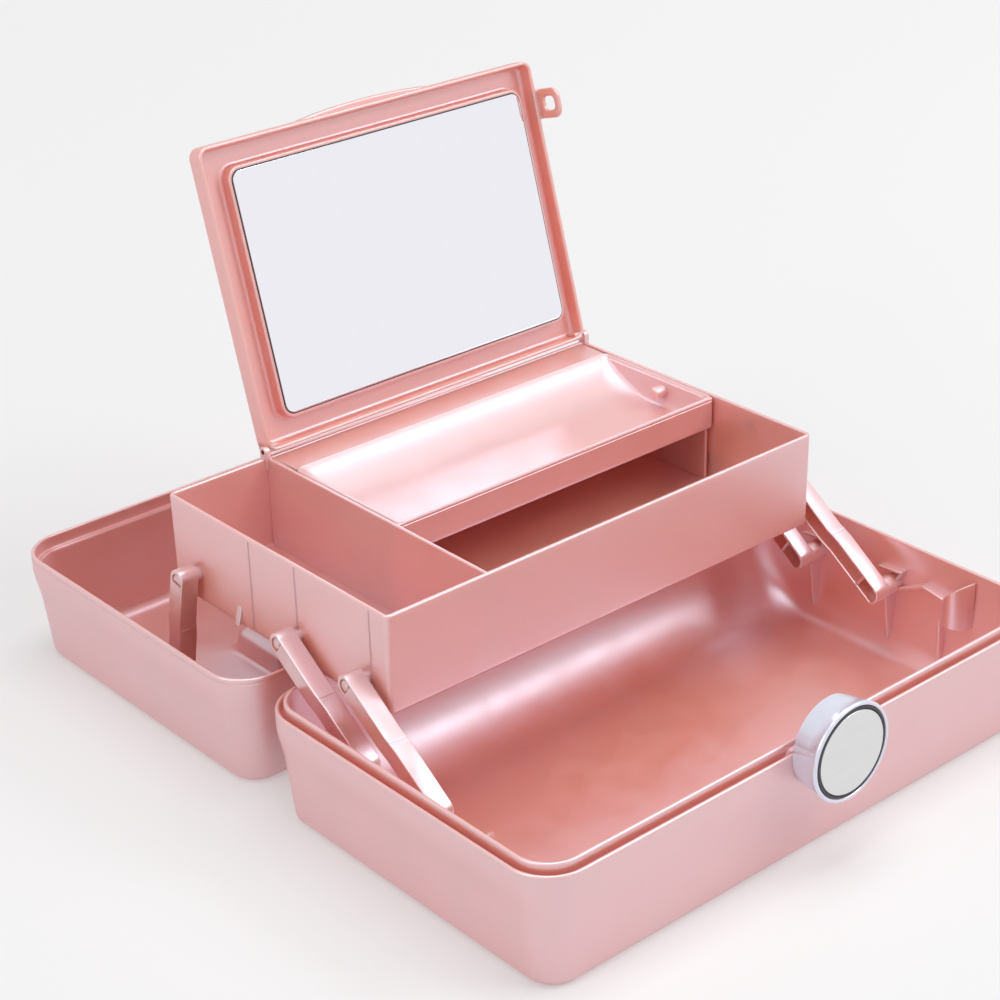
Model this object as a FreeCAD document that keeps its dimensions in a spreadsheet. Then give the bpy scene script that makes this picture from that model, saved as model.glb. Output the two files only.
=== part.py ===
"""Makeup storage case: two hinged tubs, a lift-out tray on folding arms and a mirror lid.

Frame: +X to the right, +Y to the rear, +Z up, millimetres.  The origin is the centre of the
base tub's flat underside.  The case is modelled lying open: the lid tub rests on its own top
panel behind the base, the arms hold the tray up and the mirror lid leans back.
"""
import FreeCAD, Part
import math
import os
import Sketcher

Vector = FreeCAD.Vector
X_AXIS, Y_AXIS = Vector(1, 0, 0), Vector(0, 1, 0)
SIDES = ((-1, "left"), (1, "right"))

doc = FreeCAD.newDocument("makeup_case")

# ---------------------------------------------------------------- driving dimensions
DIMENSIONS = {
    # shells
    "case_width": 331, "case_depth": 194, "shell_height": 60, "rim_corner": 21.5,
    "collar_height": 20, "side_step": 3.1, "front_step": 1.4, "wall_draft": 6, "edge_round": 4.5,
    "floor_thickness": 2.6, "cavity_draft": 2.9, "cavity_round": 10,
    "lip_thickness": 1.9, "groove_width": 2.1, "tongue_thickness": 2, "tongue_rise": 3.5,
    "groove_depth": 6, "lid_rim": 2.2, "ledge_depth": 7, "ledge_step": 2.4,
    "lid_cavity_draft": 5, "lid_cavity_round": 7,
    # hinge between the shells
    "hinge_gap": 15.5, "hinge_inset": 70.5, "knuckle_radius": 5.5, "knuckle_length": 14,
    "hinge_pin": 1.5, "play": 0.3, "running": 0.08,
    # arms and their pivots
    "arm_length": 68.24, "arm_radius": 5.5, "arm_relief": 4.35, "arm_depth": 9.9, "arm_wall": 1.3,
    "arm_plate": 2, "arm_ramp": 3, "slot_depth": 0.9, "slot_radius": 3.7, "slot_flat": 2,
    "web_thickness": 1.5, "web_set": 2.5, "plug_recess": 0.2, "boss_root": 0.5,
    "arm_gap": 2.4, "arm_lean": 35.577, "arm_pitch": 50.6, "pivot_back": 3, "pivot_below_rim": 19,
    "pivot_pin": 1.8, "pivot_head": 2.7, "head_thickness": 1.6, "boss_radius": 5, "collar_radius": 3.4,
    "lid_pivot_back": 195, "lid_pivot_rise": 25, "pin_fit": 0.02,
    # ribs, ledges, stops and finger cup on the end walls
    "gusset_thickness": 2, "gusset_foot": 0.45, "gusset_tuck": 2, "strip_thickness": 1.6, "strip_inset": 2,
    "ledge_low_length": 18, "ledge_low_lean": 154.9, "ledge_low_back": 5,
    "ledge_length": 17.5, "ledge_lean": 172.9, "ledge_back": 21.5, "ledge_rise": 7,
    "stop_length": 17, "stop_lean": 10, "stop_back": 15, "stop_rise": 11.5, "stop_thickness": 1.8,
    "stop_leg_tall": 13.5, "stop_leg_back": 12, "cup_back": 46, "cup_radius": 8.2, "cup_wall": 1.6,
    "cup_tall": 26, "cup_drop": 3, "cup_lean": 34.5, "cup_rib_back": 38, "cup_rib_tall": 30,
    # tray
    "tray_side_room": 30, "tray_depth": 167.2, "tray_tall": 49.9, "tray_wall": 2, "tray_floor": 2.2,
    "tray_front_gap": 16.1, "tray_drop": 13.2, "tray_corner": 3, "bin_width": 58.5,
    "tray_draft": 0.5, "rear_stud_back": 130.5, "rear_stud_rise": 1.3, "stud_root": 1.5,
    "tab_back": 99, "tab_reach": 3.4, "tab_tip": 1.2, "tab_tall": 9, "tab_thickness": 1.6,
    # scoop shelf
    "shelf_rear_gap": 0.4, "shelf_side_gap": 1, "shelf_drop": 0.4, "shelf_depth": 99.6,
    "scoop_depth": 14, "scoop_flat": 47, "shelf_wall": 2, "scoop_back": 20.4, "shelf_tall": 17,
    "shelf_leg": 1.6, "shelf_leg_length": 36, "shelf_nub": 2.2, "shelf_nub_reach": 5, "shelf_nub_back": 34,
    # mirror lid
    "mirror_side_room": 0.5, "mirror_length": 151.9, "mirror_deep": 10.5, "mirror_wall": 2,
    "mirror_tilt": 73.8, "mirror_axis_rise": 3.1, "mirror_axis_inset": 0.6, "rim_below_axis": 2.5,
    "glass_side_room": 13.8, "glass_end_room": 14.9, "glass_shift": 2.5,
    "glass_thickness": 1.5, "glass_sink": 1.4,
    "frame_width": 2.2, "seat_play": 0.4, "tape_thickness": 0.5, "tape_inset": 6, "pad_rise": 6.6,
    "mirror_overhang": 1.2,
    "mirror_pin": 1.2, "ear_width": 2.2, "ear_wall": 1.4, "ear_root": 6,
    "loop_width": 16, "loop_reach": 15, "loop_back": 24,
    "loop_plate": 1.8, "loop_gap": 1.1, "loop_frame": 3.6, "lip_width": 96, "lip_depth": 14,
    "lip_reach": 2.5, "mirror_pin_length": 8, "catch_nub": 2.6,
    # carrying handle
    "handle_end_room": 3, "well_depth": 42, "well_sink": 12.4, "well_shift": 2.5, "well_wall": 2.2,
    "well_draft": 6, "well_round": 4,
    "handle_width": 170, "handle_thickness": 9, "handle_bar": 12, "handle_leg": 11,
    "handle_pin": 2, "handle_edge": 7, "handle_sink": 6.8, "handle_gap": 3,
    # latch
    "latch_radius": 24, "latch_reach": 15.5, "latch_drop": 1, "latch_root": 21.6, "latch_back": 1.6,
    "ring_radius": 21.9, "ring_width": 1.4, "ring_thickness": 2.5, "button_travel": 2,
    "button_thickness": 2.4, "plate_thickness": 0.9, "hook_width": 10, "hook_thickness": 2.4,
    "hook_drop": 8, "hook_pin": 1, "hook_setback": 4.2, "hook_tail": 12.5, "nose_above_rim": 7.5,
    "nose_tall": 3, "spring_radius": 3, "spring_wire": 0.6, "spring_offset": 13,
}

sheet = doc.addObject("Spreadsheet::Sheet", "sizes")
for row, (alias, value) in enumerate(DIMENSIONS.items(), start=1):
    sheet.set(f"A{row}", alias)
    sheet.set(f"B{row}", str(value))
    sheet.setAlias(f"B{row}", alias)
doc.recompute()


def size(alias):
    """The present value of one driving dimension."""
    return float(sheet.get(alias))


# Widths and heights that follow from a driving dimension and a named clearance.
FITTED = {
    "hinge_station": "(case_width / 2 - hinge_inset)",
    "pivot_rise": "(shell_height - pivot_below_rim)",
    "latch_centre": "(shell_height - latch_drop)",
    "hook_pivot": "(shell_height - hook_drop)",
    "nose_rise": "(shell_height + nose_above_rim)",
    "tray_width": "(case_width - 2 * tray_side_room)",
    "mirror_width": "(tray_width - bin_width - mirror_side_room)",
    "glass_width": "(mirror_width - 2 * glass_side_room)",
    "glass_length": "(mirror_length - 2 * glass_end_room)",
    "well_width": "(handle_width + 2 * handle_end_room)",
    "shelf_front": "(tray_depth - tray_wall - shelf_rear_gap - shelf_depth)",
}


def expand(text):
    """Write sizes.NAME for every driving dimension named in an expression."""
    words = []
    word = ""
    for letter in text + " ":
        if letter.isalnum() or letter == "_":
            word += letter
            continue
        if word in FITTED:
            word = expand(FITTED[word])
        words.append("sizes." + word if word in DIMENSIONS else word)
        words.append(letter)
        word = ""
    return "".join(words).strip()


def bind(item, **expressions):
    """Tie properties of an object to expressions of the driving dimensions."""
    for name, text in expressions.items():
        item.setExpression(name, expand(str(text)))
    return item


def place(item, x=0, y=0, z=0):
    """Tie an object's position to expressions of the driving dimensions."""
    for axis, text in (("x", x), ("y", y), ("z", z)):
        item.setExpression(".Placement.Base." + axis, expand(str(text)))
    return item


# ---------------------------------------------------------------- small makers
def box(name, x, y, z, length, width, height):
    """A box with one corner at (x, y, z)."""
    item = doc.addObject("Part::Box", name)
    bind(item, Length=length, Width=width, Height=height)
    return place(item, x, y, z)


def turn_by(item, angle):
    """Tie an object's turn about the X direction to an angle expression."""
    item.Placement.Rotation = FreeCAD.Rotation(X_AXIS, 30)
    item.setExpression(".Placement.Rotation.Angle", expand(angle))
    return item


def turn_about_x(item, degrees):
    """The same for a plain number of degrees."""
    return turn_by(item, f"({degrees}) * 1deg")


def centred_box(name, y, z, length, width, height, x="0"):
    """A box centred on x, running rearwards from y and up from z."""
    return box(name, f"({x}) - ({length}) / 2", y, z, length, width, height)


def rod(name, side, start, y, z, radius, length, axis=X_AXIS):
    """A cylinder that runs along an axis from start, outwards on the given side."""
    item = doc.addObject("Part::Cylinder", name)
    bind(item, Radius=radius, Height=length)
    item.Placement.Rotation = FreeCAD.Rotation(Vector(0, 0, 1), axis * side)
    if axis == X_AXIS:
        return place(item, f"({start}) * {side}", y, z)
    return place(item, start, y, z)


def join(name, parts):
    """One solid from touching parts."""
    item = doc.addObject("Part::MultiFuse", name)
    item.Shapes = parts
    item.Refine = True
    return item


def cut(name, base, tools):
    """The base with all tools taken away."""
    tool = tools[0] if len(tools) == 1 else join(name + "_tools", tools)
    item = doc.addObject("Part::Cut", name)
    item.Base = base
    item.Tool = tool
    item.Refine = True
    return item


def group(name, parts):
    """Several separate solids kept in one node."""
    item = doc.addObject("Part::Compound", name)
    item.Links = parts
    return item


def origin_plane(body, role):
    for feature in body.Origin.OriginFeatures:
        if feature.Role == role:
            return feature
    raise ValueError(role)


def new_sketch(body, name, role, height="0"):
    """A sketch on one of the body's own origin planes, lifted along its normal."""
    sketch = body.newObject("Sketcher::SketchObject", name)
    sketch.AttachmentSupport = [(origin_plane(body, role), "")]
    sketch.MapMode = "FlatFace"
    sketch.setExpression(".AttachmentOffset.Base.z", expand(height))
    return sketch


def named(sketch, name, constraint, expression):
    """Add a constraint and tie it to the driving dimensions."""
    index = sketch.addConstraint(constraint)
    sketch.renameConstraint(index, name)
    sketch.setExpression("Constraints." + name, expand(expression))


def rounded_outline(body, name, width, depth, corner, height="0", shift="0", role="XY_Plane"):
    """A rounded rectangle centred on the body, moved rearwards by shift."""
    sketch = new_sketch(body, name, role, height)
    sketch.setExpression(".AttachmentOffset.Base.y", expand(shift))
    draw_rounded(sketch, width, depth, corner, "")
    return sketch


def draw_rounded(sketch, width, depth, corner, tag):
    """Four lines joined by four equal arcs, symmetric about both sketch axes."""
    half_w, half_d, turn = 50, 30, 5
    first = sketch.GeometryCount
    corners = (
        (half_w, -half_d, -90), (half_w, half_d, 0), (-half_w, half_d, 90), (-half_w, -half_d, 180)
    )
    starts = (
        (-half_w + turn, -half_d), (half_w, -half_d + turn),
        (half_w - turn, half_d), (-half_w, half_d - turn),
    )
    ends = (
        (half_w - turn, -half_d), (half_w, half_d - turn),
        (-half_w + turn, half_d), (-half_w, -half_d + turn),
    )
    for (x, y, angle), start, end in zip(corners, starts, ends):
        sketch.addGeometry(Part.LineSegment(Vector(*start, 0), Vector(*end, 0)), False)
        centre = Vector(x - math.copysign(turn, x), y - math.copysign(turn, y), 0)
        circle = Part.Circle(centre, Vector(0, 0, 1), turn)
        arc = Part.ArcOfCircle(circle, math.radians(angle), math.radians(angle + 90))
        sketch.addGeometry(arc, False)
    for index in range(0, 8, 2):
        line, arc, following = first + index, first + index + 1, first + (index + 2) % 8
        sketch.addConstraint(Sketcher.Constraint("Tangent", line, 2, arc, 1))
        sketch.addConstraint(Sketcher.Constraint("Tangent", arc, 2, following, 1))
    for arc in (3, 5, 7):
        sketch.addConstraint(Sketcher.Constraint("Equal", first + 1, first + arc))
    sketch.addConstraint(Sketcher.Constraint("Horizontal", first + 4))
    sketch.addConstraint(Sketcher.Constraint("Vertical", first + 6))
    sketch.addConstraint(Sketcher.Constraint("Symmetric", first, 1, first, 2, -2))
    sketch.addConstraint(Sketcher.Constraint("Symmetric", first + 2, 1, first + 2, 2, -1))
    across = Sketcher.Constraint("DistanceX", first + 6, 1, first + 2, 1, 2 * half_w)
    along = Sketcher.Constraint("DistanceY", first, 1, first + 4, 1, 2 * half_d)
    named(sketch, "width" + tag, across, width)
    named(sketch, "depth" + tag, along, depth)
    named(sketch, "corner" + tag, Sketcher.Constraint("Radius", first + 1, turn), corner)


def inset_outline(body, name, inset, height, gap_outline=None):
    """The case's rim outline moved inwards by inset, with an optional second ring inside."""
    def ring(offset):
        return f"case_width - 2 * ({offset})", f"case_depth - 2 * ({offset})", f"rim_corner - ({offset})"
    sketch = rounded_outline(body, name, *ring(inset), height=height)
    if gap_outline is not None:
        draw_rounded(sketch, *ring(gap_outline), "_inner")
    return sketch


def pad(body, name, sketch, length, taper="0", down=False):
    item = body.newObject("PartDesign::Pad", name)
    item.Profile = sketch
    item.Reversed = down
    bind(item, Length=length, TaperAngle=f"-({taper})")
    doc.recompute()
    return item


def pocket(body, name, sketch, length, taper="0", up=False):
    before = body.Tip.Shape.Volume
    item = body.newObject("PartDesign::Pocket", name)
    item.Profile = sketch
    item.Reversed = up
    bind(item, Length=length, TaperAngle=f"-({taper})")
    doc.recompute()
    if item.Shape.Volume >= before:
        raise ValueError(name + " cuts nothing")
    return item


def fillet_flat_edges(body, name, height, radius, inside=None):
    """Round the edges that lie flat at one height; inside limits them to |x| below a value."""
    base = body.Tip
    edges = []
    for index, edge in enumerate(base.Shape.Edges, start=1):
        bounds = edge.BoundBox
        flat = abs(bounds.ZMin - height) < 1e-4 and abs(bounds.ZMax - height) < 1e-4
        if flat and (inside is None or max(abs(bounds.XMin), abs(bounds.XMax)) < inside):
            edges.append(f"Edge{index}")
    item = body.newObject("PartDesign::Fillet", name)
    item.Base = (base, edges)
    bind(item, Radius=radius)
    doc.recompute()
    return item


def new_body(name):
    return doc.addObject("PartDesign::Body", name)


pieces = []


def finish(item, label):
    """Give a finished sub-part its own name."""
    item.Label = label
    pieces.append(item)
    return item


# Places that several pieces share, as expressions of the driving dimensions.
HINGE_Y = "(case_depth / 2 + hinge_gap / 2)"
LID_Y = "(case_depth + hinge_gap)"
ARM_INNER = "(tray_width / 2 + arm_gap)"
ARM_OUTER = f"({ARM_INNER} + arm_depth)"
BOSS_FACE = f"({ARM_OUTER} + play)"
WALL_REACH = "(case_width / 2 - lip_thickness - groove_width - tongue_thickness + boss_root)"
ARM_LEAN = "(arm_lean * 1deg)"
TRAY_PIVOT_Y = f"(arm_length * cos({ARM_LEAN}) - pivot_back)"
TRAY_PIVOT_Z = f"(pivot_rise + arm_length * sin({ARM_LEAN}))"
TRAY_FRONT = f"({TRAY_PIVOT_Y} - tray_front_gap)"
TRAY_REAR = f"({TRAY_FRONT} + tray_depth)"
TRAY_BOTTOM = f"({TRAY_PIVOT_Z} - tray_drop)"
TRAY_TOP = f"({TRAY_BOTTOM} + tray_tall)"
PARTITION_X = "(bin_width - tray_width / 2)"
MIRROR_Y = f"({TRAY_REAR} - mirror_axis_inset)"
MIRROR_Z = f"({TRAY_TOP} + mirror_axis_rise)"
REAR_RUN = f"({TRAY_PIVOT_Y} + rear_stud_back - lid_pivot_back)"
REAR_RISE = f"({TRAY_PIVOT_Z} + rear_stud_rise - lid_pivot_rise)"
REAR_LENGTH = f"sqrt({REAR_RUN} ^ 2 + {REAR_RISE} ^ 2)"
REAR_LEAN = f"(90deg + atan(-{REAR_RUN} / {REAR_RISE}))"


# ---------------------------------------------------------------- shells
def knuckle(tag, first, last, toward, height_side):
    """One hinge knuckle with the web that carries it on a shell's collar."""
    length = f"({last}) - ({first})"
    barrel = doc.addObject("Part::Cylinder", f"barrel_{tag}")
    bind(barrel, Radius="knuckle_radius", Height=length)
    barrel.Placement.Rotation = FreeCAD.Rotation(Vector(0, 0, 1), X_AXIS)
    place(barrel, first, HINGE_Y, "shell_height")
    start = f"{HINGE_Y} - hinge_gap / 2 - 1" if toward < 0 else HINGE_Y
    web = box(
        f"web_{tag}", first, start, f"shell_height - knuckle_radius * {height_side}",
        length, "hinge_gap / 2 + 1", f"knuckle_radius * {height_side}",
    )
    return [barrel, web]


def hinge_bore(tag, side):
    """The pin hole through the knuckles of one hinge station."""
    reach = "knuckle_length * 3 + play * 4"
    start = f"hinge_station * {side} - ({reach}) / 2"
    bore = doc.addObject("Part::Cylinder", f"bore_{tag}_{side + 1}")
    bind(bore, Radius="hinge_pin + running", Height=reach)
    bore.Placement.Rotation = FreeCAD.Rotation(Vector(0, 0, 1), X_AXIS)
    return place(bore, start, HINGE_Y, "shell_height")


def outer_shell(body):
    """Collar band, drafted walls below it and a rounded bottom edge."""
    collar = inset_outline(body, body.Name + "_collar", "0", "shell_height - collar_height")
    pad(body, body.Name + "_band", collar, "collar_height")
    skirt = rounded_outline(
        body, body.Name + "_skirt", "case_width - 2 * side_step", "case_depth - 2 * front_step",
        "rim_corner - side_step", "shell_height - collar_height",
    )
    pad(body, body.Name + "_wall", skirt, "shell_height - collar_height", "wall_draft", down=True)
    fillet_flat_edges(body, body.Name + "_bottom_round", 0, "edge_round")


def base_tub():
    body = new_body("base_body")
    outer_shell(body)
    tongue = inset_outline(
        body, "tongue_outline", "lip_thickness + groove_width", "shell_height - 1"
    )
    pad(body, "tongue", tongue, "tongue_rise + 1")
    cavity = inset_outline(
        body, "cavity_outline", "lip_thickness + groove_width + tongue_thickness",
        "shell_height + tongue_rise",
    )
    pocket(
        body, "cavity", cavity, "shell_height + tongue_rise - floor_thickness", "cavity_draft"
    )
    inner = size("case_width") / 2 - size("lip_thickness") - size("groove_width")
    fillet_flat_edges(body, "cavity_round_edge", size("floor_thickness"), "cavity_round", inner)
    groove = inset_outline(
        body, "groove_outline", "lip_thickness", "shell_height", "lip_thickness + groove_width"
    )
    pocket(body, "groove", groove, "groove_depth")
    return body


def lid_tub():
    body = new_body("lid_body")
    outer_shell(body)
    rim = inset_outline(body, "rim_outline", "lid_rim", "shell_height")
    pocket(body, "rim_step", rim, "ledge_depth")
    cavity = inset_outline(
        body, "lid_cavity_outline", "lid_rim + ledge_step", "shell_height - ledge_depth"
    )
    pocket(
        body, "lid_cavity", cavity, "shell_height - ledge_depth - floor_thickness",
        "lid_cavity_draft",
    )
    inner = size("case_width") / 2 - size("lid_rim") - size("ledge_step")
    fillet_flat_edges(body, "lid_round_edge", size("floor_thickness"), "lid_cavity_round", inner)
    housing = rounded_outline(
        body, "well_housing_outline", "well_width + 2 * well_wall", "well_depth + 2 * well_wall",
        "8", "0", "-well_shift",
    )
    pad(body, "well_housing", housing, "well_sink + well_wall", "well_draft")
    hump_top = size("well_sink") + size("well_wall")
    hump_half = size("handle_width") / 2 + size("handle_end_room") + size("well_wall")
    fillet_flat_edges(body, "well_housing_round", hump_top, "well_round", hump_half)
    well = rounded_outline(
        body, "well_outline", "well_width", "well_depth", "6", "0", "-well_shift"
    )
    pocket(body, "well", well, "well_sink", "well_draft", up=True)
    place(body, "0", LID_Y, "0")
    return body


def wall_boss(tag, side, y, z):
    """A round boss that stands inwards from an end wall and carries an arm's pivot pin."""
    boss = rod(
        f"boss_{tag}", side, BOSS_FACE, y, z, "boss_radius", f"{WALL_REACH} - {BOSS_FACE}"
    )
    bore = rod(
        f"boss_bore_{tag}", side, f"{BOSS_FACE} - 1", y, z, "pivot_pin + pin_fit",
        f"{WALL_REACH} - {BOSS_FACE} - 1",
    )
    return boss, bore


def gusset(tag, side, y, top, height):
    """A thin upright rib under a boss: deep at its top, fading into the wall and following its
    draft below."""
    rib = doc.addObject("Part::Wedge", f"gusset_{tag}")
    depth = f"({WALL_REACH} - {BOSS_FACE} - 1)"
    bind(
        rib, Ymax=height, Xmax=f"{depth} - gusset_tuck", X2max=depth, Xmin=f"{depth} * gusset_foot",
        Zmax="gusset_thickness", Z2max="gusset_thickness",
    )
    rib.X2min, rib.Ymin, rib.Zmin, rib.Z2min = 0, 0, 0, 0
    turn = FreeCAD.Rotation(X_AXIS, 90)
    if side < 0:
        turn = FreeCAD.Rotation(Vector(0, 0, 1), 180) * turn
    rib.Placement.Rotation = turn
    return place(
        rib, f"({BOSS_FACE} + 1) * {side}", f"({y}) + gusset_thickness / 2 * {side}",
        f"({top}) - ({height})",
    )


def arm_places():
    """Lower pivots of the front and the middle arm, as distances behind the centre."""
    return (("front", "-pivot_back"), ("middle", "arm_pitch - pivot_back"))


def strip(tag, side, y, z, length, lean, thickness):
    """A thin strip that stands in from an end wall and runs from (y, z) at the given lean."""
    item = doc.addObject("Part::Box", f"strip_{tag}_{side + 1}")
    reach = f"({WALL_REACH} - {BOSS_FACE} - strip_inset)"
    bind(item, Length=reach, Width=length, Height=thickness)
    turn_about_x(item, lean)
    inset = reach if side < 0 else "0"
    return place(item, f"({BOSS_FACE} + strip_inset) * {side} - ({inset})", y, z)


def wall_details(side, name):
    """The ledge in front of the front arm with its finger cup, and a stop above each pivot."""
    front = "-pivot_back"
    items = [
        strip(
            "ledge_low", side, f"{front} - ledge_low_back", "pivot_rise - 0.5", "ledge_low_length",
            "ledge_low_lean", "strip_thickness",
        ),
        strip(
            "ledge", side, f"{front} - ledge_back", "pivot_rise + ledge_rise", "ledge_length",
            "ledge_lean", "strip_thickness",
        ),
        gusset(
            f"cup_{name}", side, f"{front} - cup_rib_back", "pivot_rise + cup_drop + 1",
            "cup_rib_tall",
        ),
    ]
    for tag, pivot in arm_places():
        items.append(
            strip(
                f"stop_{tag}", side, f"{pivot} - stop_back", "pivot_rise + stop_rise",
                "stop_length", "stop_lean", "stop_thickness",
            )
        )
        items.append(
            strip(
                f"stop_leg_{tag}", side, f"{pivot} - stop_leg_back", "pivot_rise - 1",
                "stop_leg_tall", "90", "strip_thickness",
            )
        )
    items.append(finger_cup(side, name, f"{front} - cup_back"))
    return items


def finger_cup(side, name, y):
    """Half a round cup against the end wall, cut off by a plane that falls towards the front."""
    centre = f"({WALL_REACH} - strip_inset) * {side}"
    bowl = doc.addObject("Part::Cylinder", f"cup_outer_{name}")
    bind(bowl, Radius="cup_radius", Height="cup_tall")
    place(bowl, centre, y, "pivot_rise - cup_drop")
    well = doc.addObject("Part::Cylinder", f"cup_inner_{name}")
    bind(well, Radius="cup_radius - cup_wall", Height="cup_tall")
    place(well, centre, y, "pivot_rise - cup_drop + 2")
    slope = doc.addObject("Part::Box", f"cup_slope_{name}")
    bind(slope, Length="5 * cup_radius", Width="8 * cup_radius", Height="cup_tall + cup_radius")
    turn_about_x(slope, "-cup_lean")
    place(
        slope, f"{WALL_REACH} * {side} - 2.5 * cup_radius", f"{y} - 14", "pivot_rise + 24.5"
    )
    beyond = centred_box(
        f"cup_limit_{name}", f"{y} - 14", "pivot_rise - 10", "20", "30", "60",
        f"({WALL_REACH} + 10) * {side}",
    )
    return cut(f"cup_{name}_cut", bowl, [well, slope, beyond])


def make_base_shell():
    solids, holes = [base_tub()], []
    for side, name in SIDES:
        for arm, y in arm_places():
            boss, bore = wall_boss(f"{arm}_{name}", side, y, "pivot_rise")
            rib = gusset(f"{arm}_{name}", side, y, "pivot_rise - 3", "pivot_rise - 12")
            solids += [boss, rib]
            holes.append(bore)
        solids += wall_details(side, name)
        middle = f"hinge_station * {side}"
        gap = "knuckle_length / 2 + play"
        solids += knuckle(
            f"base_a_{name}", f"{middle} - {gap} - knuckle_length", f"{middle} - ({gap})", -1, 1
        )
        solids += knuckle(
            f"base_b_{name}", f"{middle} + {gap}", f"{middle} + {gap} + knuckle_length", -1, 1
        )
        holes.append(hinge_bore("base", side))
    return finish(cut("base_cut", join("base_join", solids), holes), "base_shell")


def make_lid_shell():
    solids, holes = [lid_tub()], []
    for side, name in SIDES:
        boss, bore = wall_boss(f"lid_{name}", side, "lid_pivot_back", "lid_pivot_rise")
        rib = gusset(f"lid_{name}", side, "lid_pivot_back", "lid_pivot_rise - 3", "14")
        solids += [boss, rib]
        holes.append(bore)
        middle = f"hinge_station * {side}"
        solids += knuckle(
            f"lid_{name}", f"{middle} - knuckle_length / 2", f"{middle} + knuckle_length / 2", 1, 1
        )
        holes.append(hinge_bore("lid", side))
        holes.append(
            rod(
                f"handle_bore_{name}", side, "well_width / 2 - 1", HANDLE_Y, "handle_sink",
                "handle_pin + pin_fit", "2.6",
            )
        )
    window = "nose_tall + 2.4"
    holes.append(
        centred_box(
            "keeper_window", f"{LID_Y} + case_depth / 2 - lid_rim - ledge_step - 2",
            f"2 * shell_height - nose_rise + nose_tall / 2 - ({window}) / 2",
            "hook_width + 2", "lid_rim + ledge_step + 4", window,
        )
    )
    return finish(cut("lid_cut", join("lid_join", solids), holes), "lid_shell")


def make_hinge_pins():
    length = "knuckle_length * 3 + play * 2"
    for side, name in SIDES:
        pin = rod(
            f"hinge_pin_body_{name}", 1, f"hinge_station * {side} - ({length}) / 2",
            HINGE_Y, "shell_height", "hinge_pin", length,
        )
        finish(pin, f"hinge_pin_{name}")


# ---------------------------------------------------------------- arms
def joggled(body, name, length, radius, relief):
    """An arm outline with a step half way along, so that folded arms pass over each other."""
    sketch = new_sketch(body, name, "YZ_Plane")
    span, turn, low, normal = 60, 5, 4, Vector(0, 0, 1)
    lean = math.asin(low / turn)
    reach = math.sqrt(turn * turn - low * low)
    near = Part.ArcOfCircle(
        Part.Circle(Vector(0, 0, 0), normal, turn), math.pi / 2, math.pi + lean
    )
    far = Part.ArcOfCircle(Part.Circle(Vector(span, 0, 0), normal, turn), -math.pi / 2, lean)
    sketch.addGeometry(near, False)
    points = (
        (-reach, -low), (span / 2 - 1, -low), (span / 2 + 1, -turn), (span, -turn)
    )
    for start, end in zip(points, points[1:]):
        sketch.addGeometry(Part.LineSegment(Vector(*start, 0), Vector(*end, 0)), False)
    sketch.addGeometry(far, False)
    for start, end in zip(points, points[1:]):
        turned = [Vector(span - x, -y, 0) for x, y in (start, end)]
        sketch.addGeometry(Part.LineSegment(*turned), False)
    for first in range(8):
        joint = Sketcher.Constraint("Coincident", first, 2, (first + 1) % 8, 1)
        sketch.addConstraint(joint)
    sketch.addConstraint(Sketcher.Constraint("Coincident", 0, 3, -1, 1))
    sketch.addConstraint(Sketcher.Constraint("PointOnObject", 4, 3, -1))
    sketch.addConstraint(Sketcher.Constraint("Equal", 0, 4))
    for line in (1, 3, 5, 7):
        sketch.addConstraint(Sketcher.Constraint("Horizontal", line))
    sketch.addConstraint(Sketcher.Constraint("Vertical", 0, 1, 0, 3))
    sketch.addConstraint(Sketcher.Constraint("Vertical", 4, 1, 4, 3))
    named(sketch, "span", Sketcher.Constraint("DistanceX", 0, 3, 4, 3, span), length)
    named(sketch, "turn", Sketcher.Constraint("Radius", 0, turn), radius)
    named(sketch, "low", Sketcher.Constraint("DistanceY", 1, 2, 0, 3, low), relief)
    named(sketch, "high", Sketcher.Constraint("DistanceY", 4, 3, 5, 2, low), relief)
    start, end = f"({length} - arm_ramp) / 2", f"({length} + arm_ramp) / 2"
    named(sketch, "ramp_a", Sketcher.Constraint("DistanceX", 0, 3, 1, 2, span / 2 - 1), start)
    named(sketch, "ramp_b", Sketcher.Constraint("DistanceX", 0, 3, 3, 1, span / 2 + 1), end)
    named(sketch, "ramp_c", Sketcher.Constraint("DistanceX", 0, 3, 5, 2, span / 2 + 1), end)
    named(sketch, "ramp_d", Sketcher.Constraint("DistanceX", 0, 3, 7, 1, span / 2 - 1), start)
    return sketch


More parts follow.
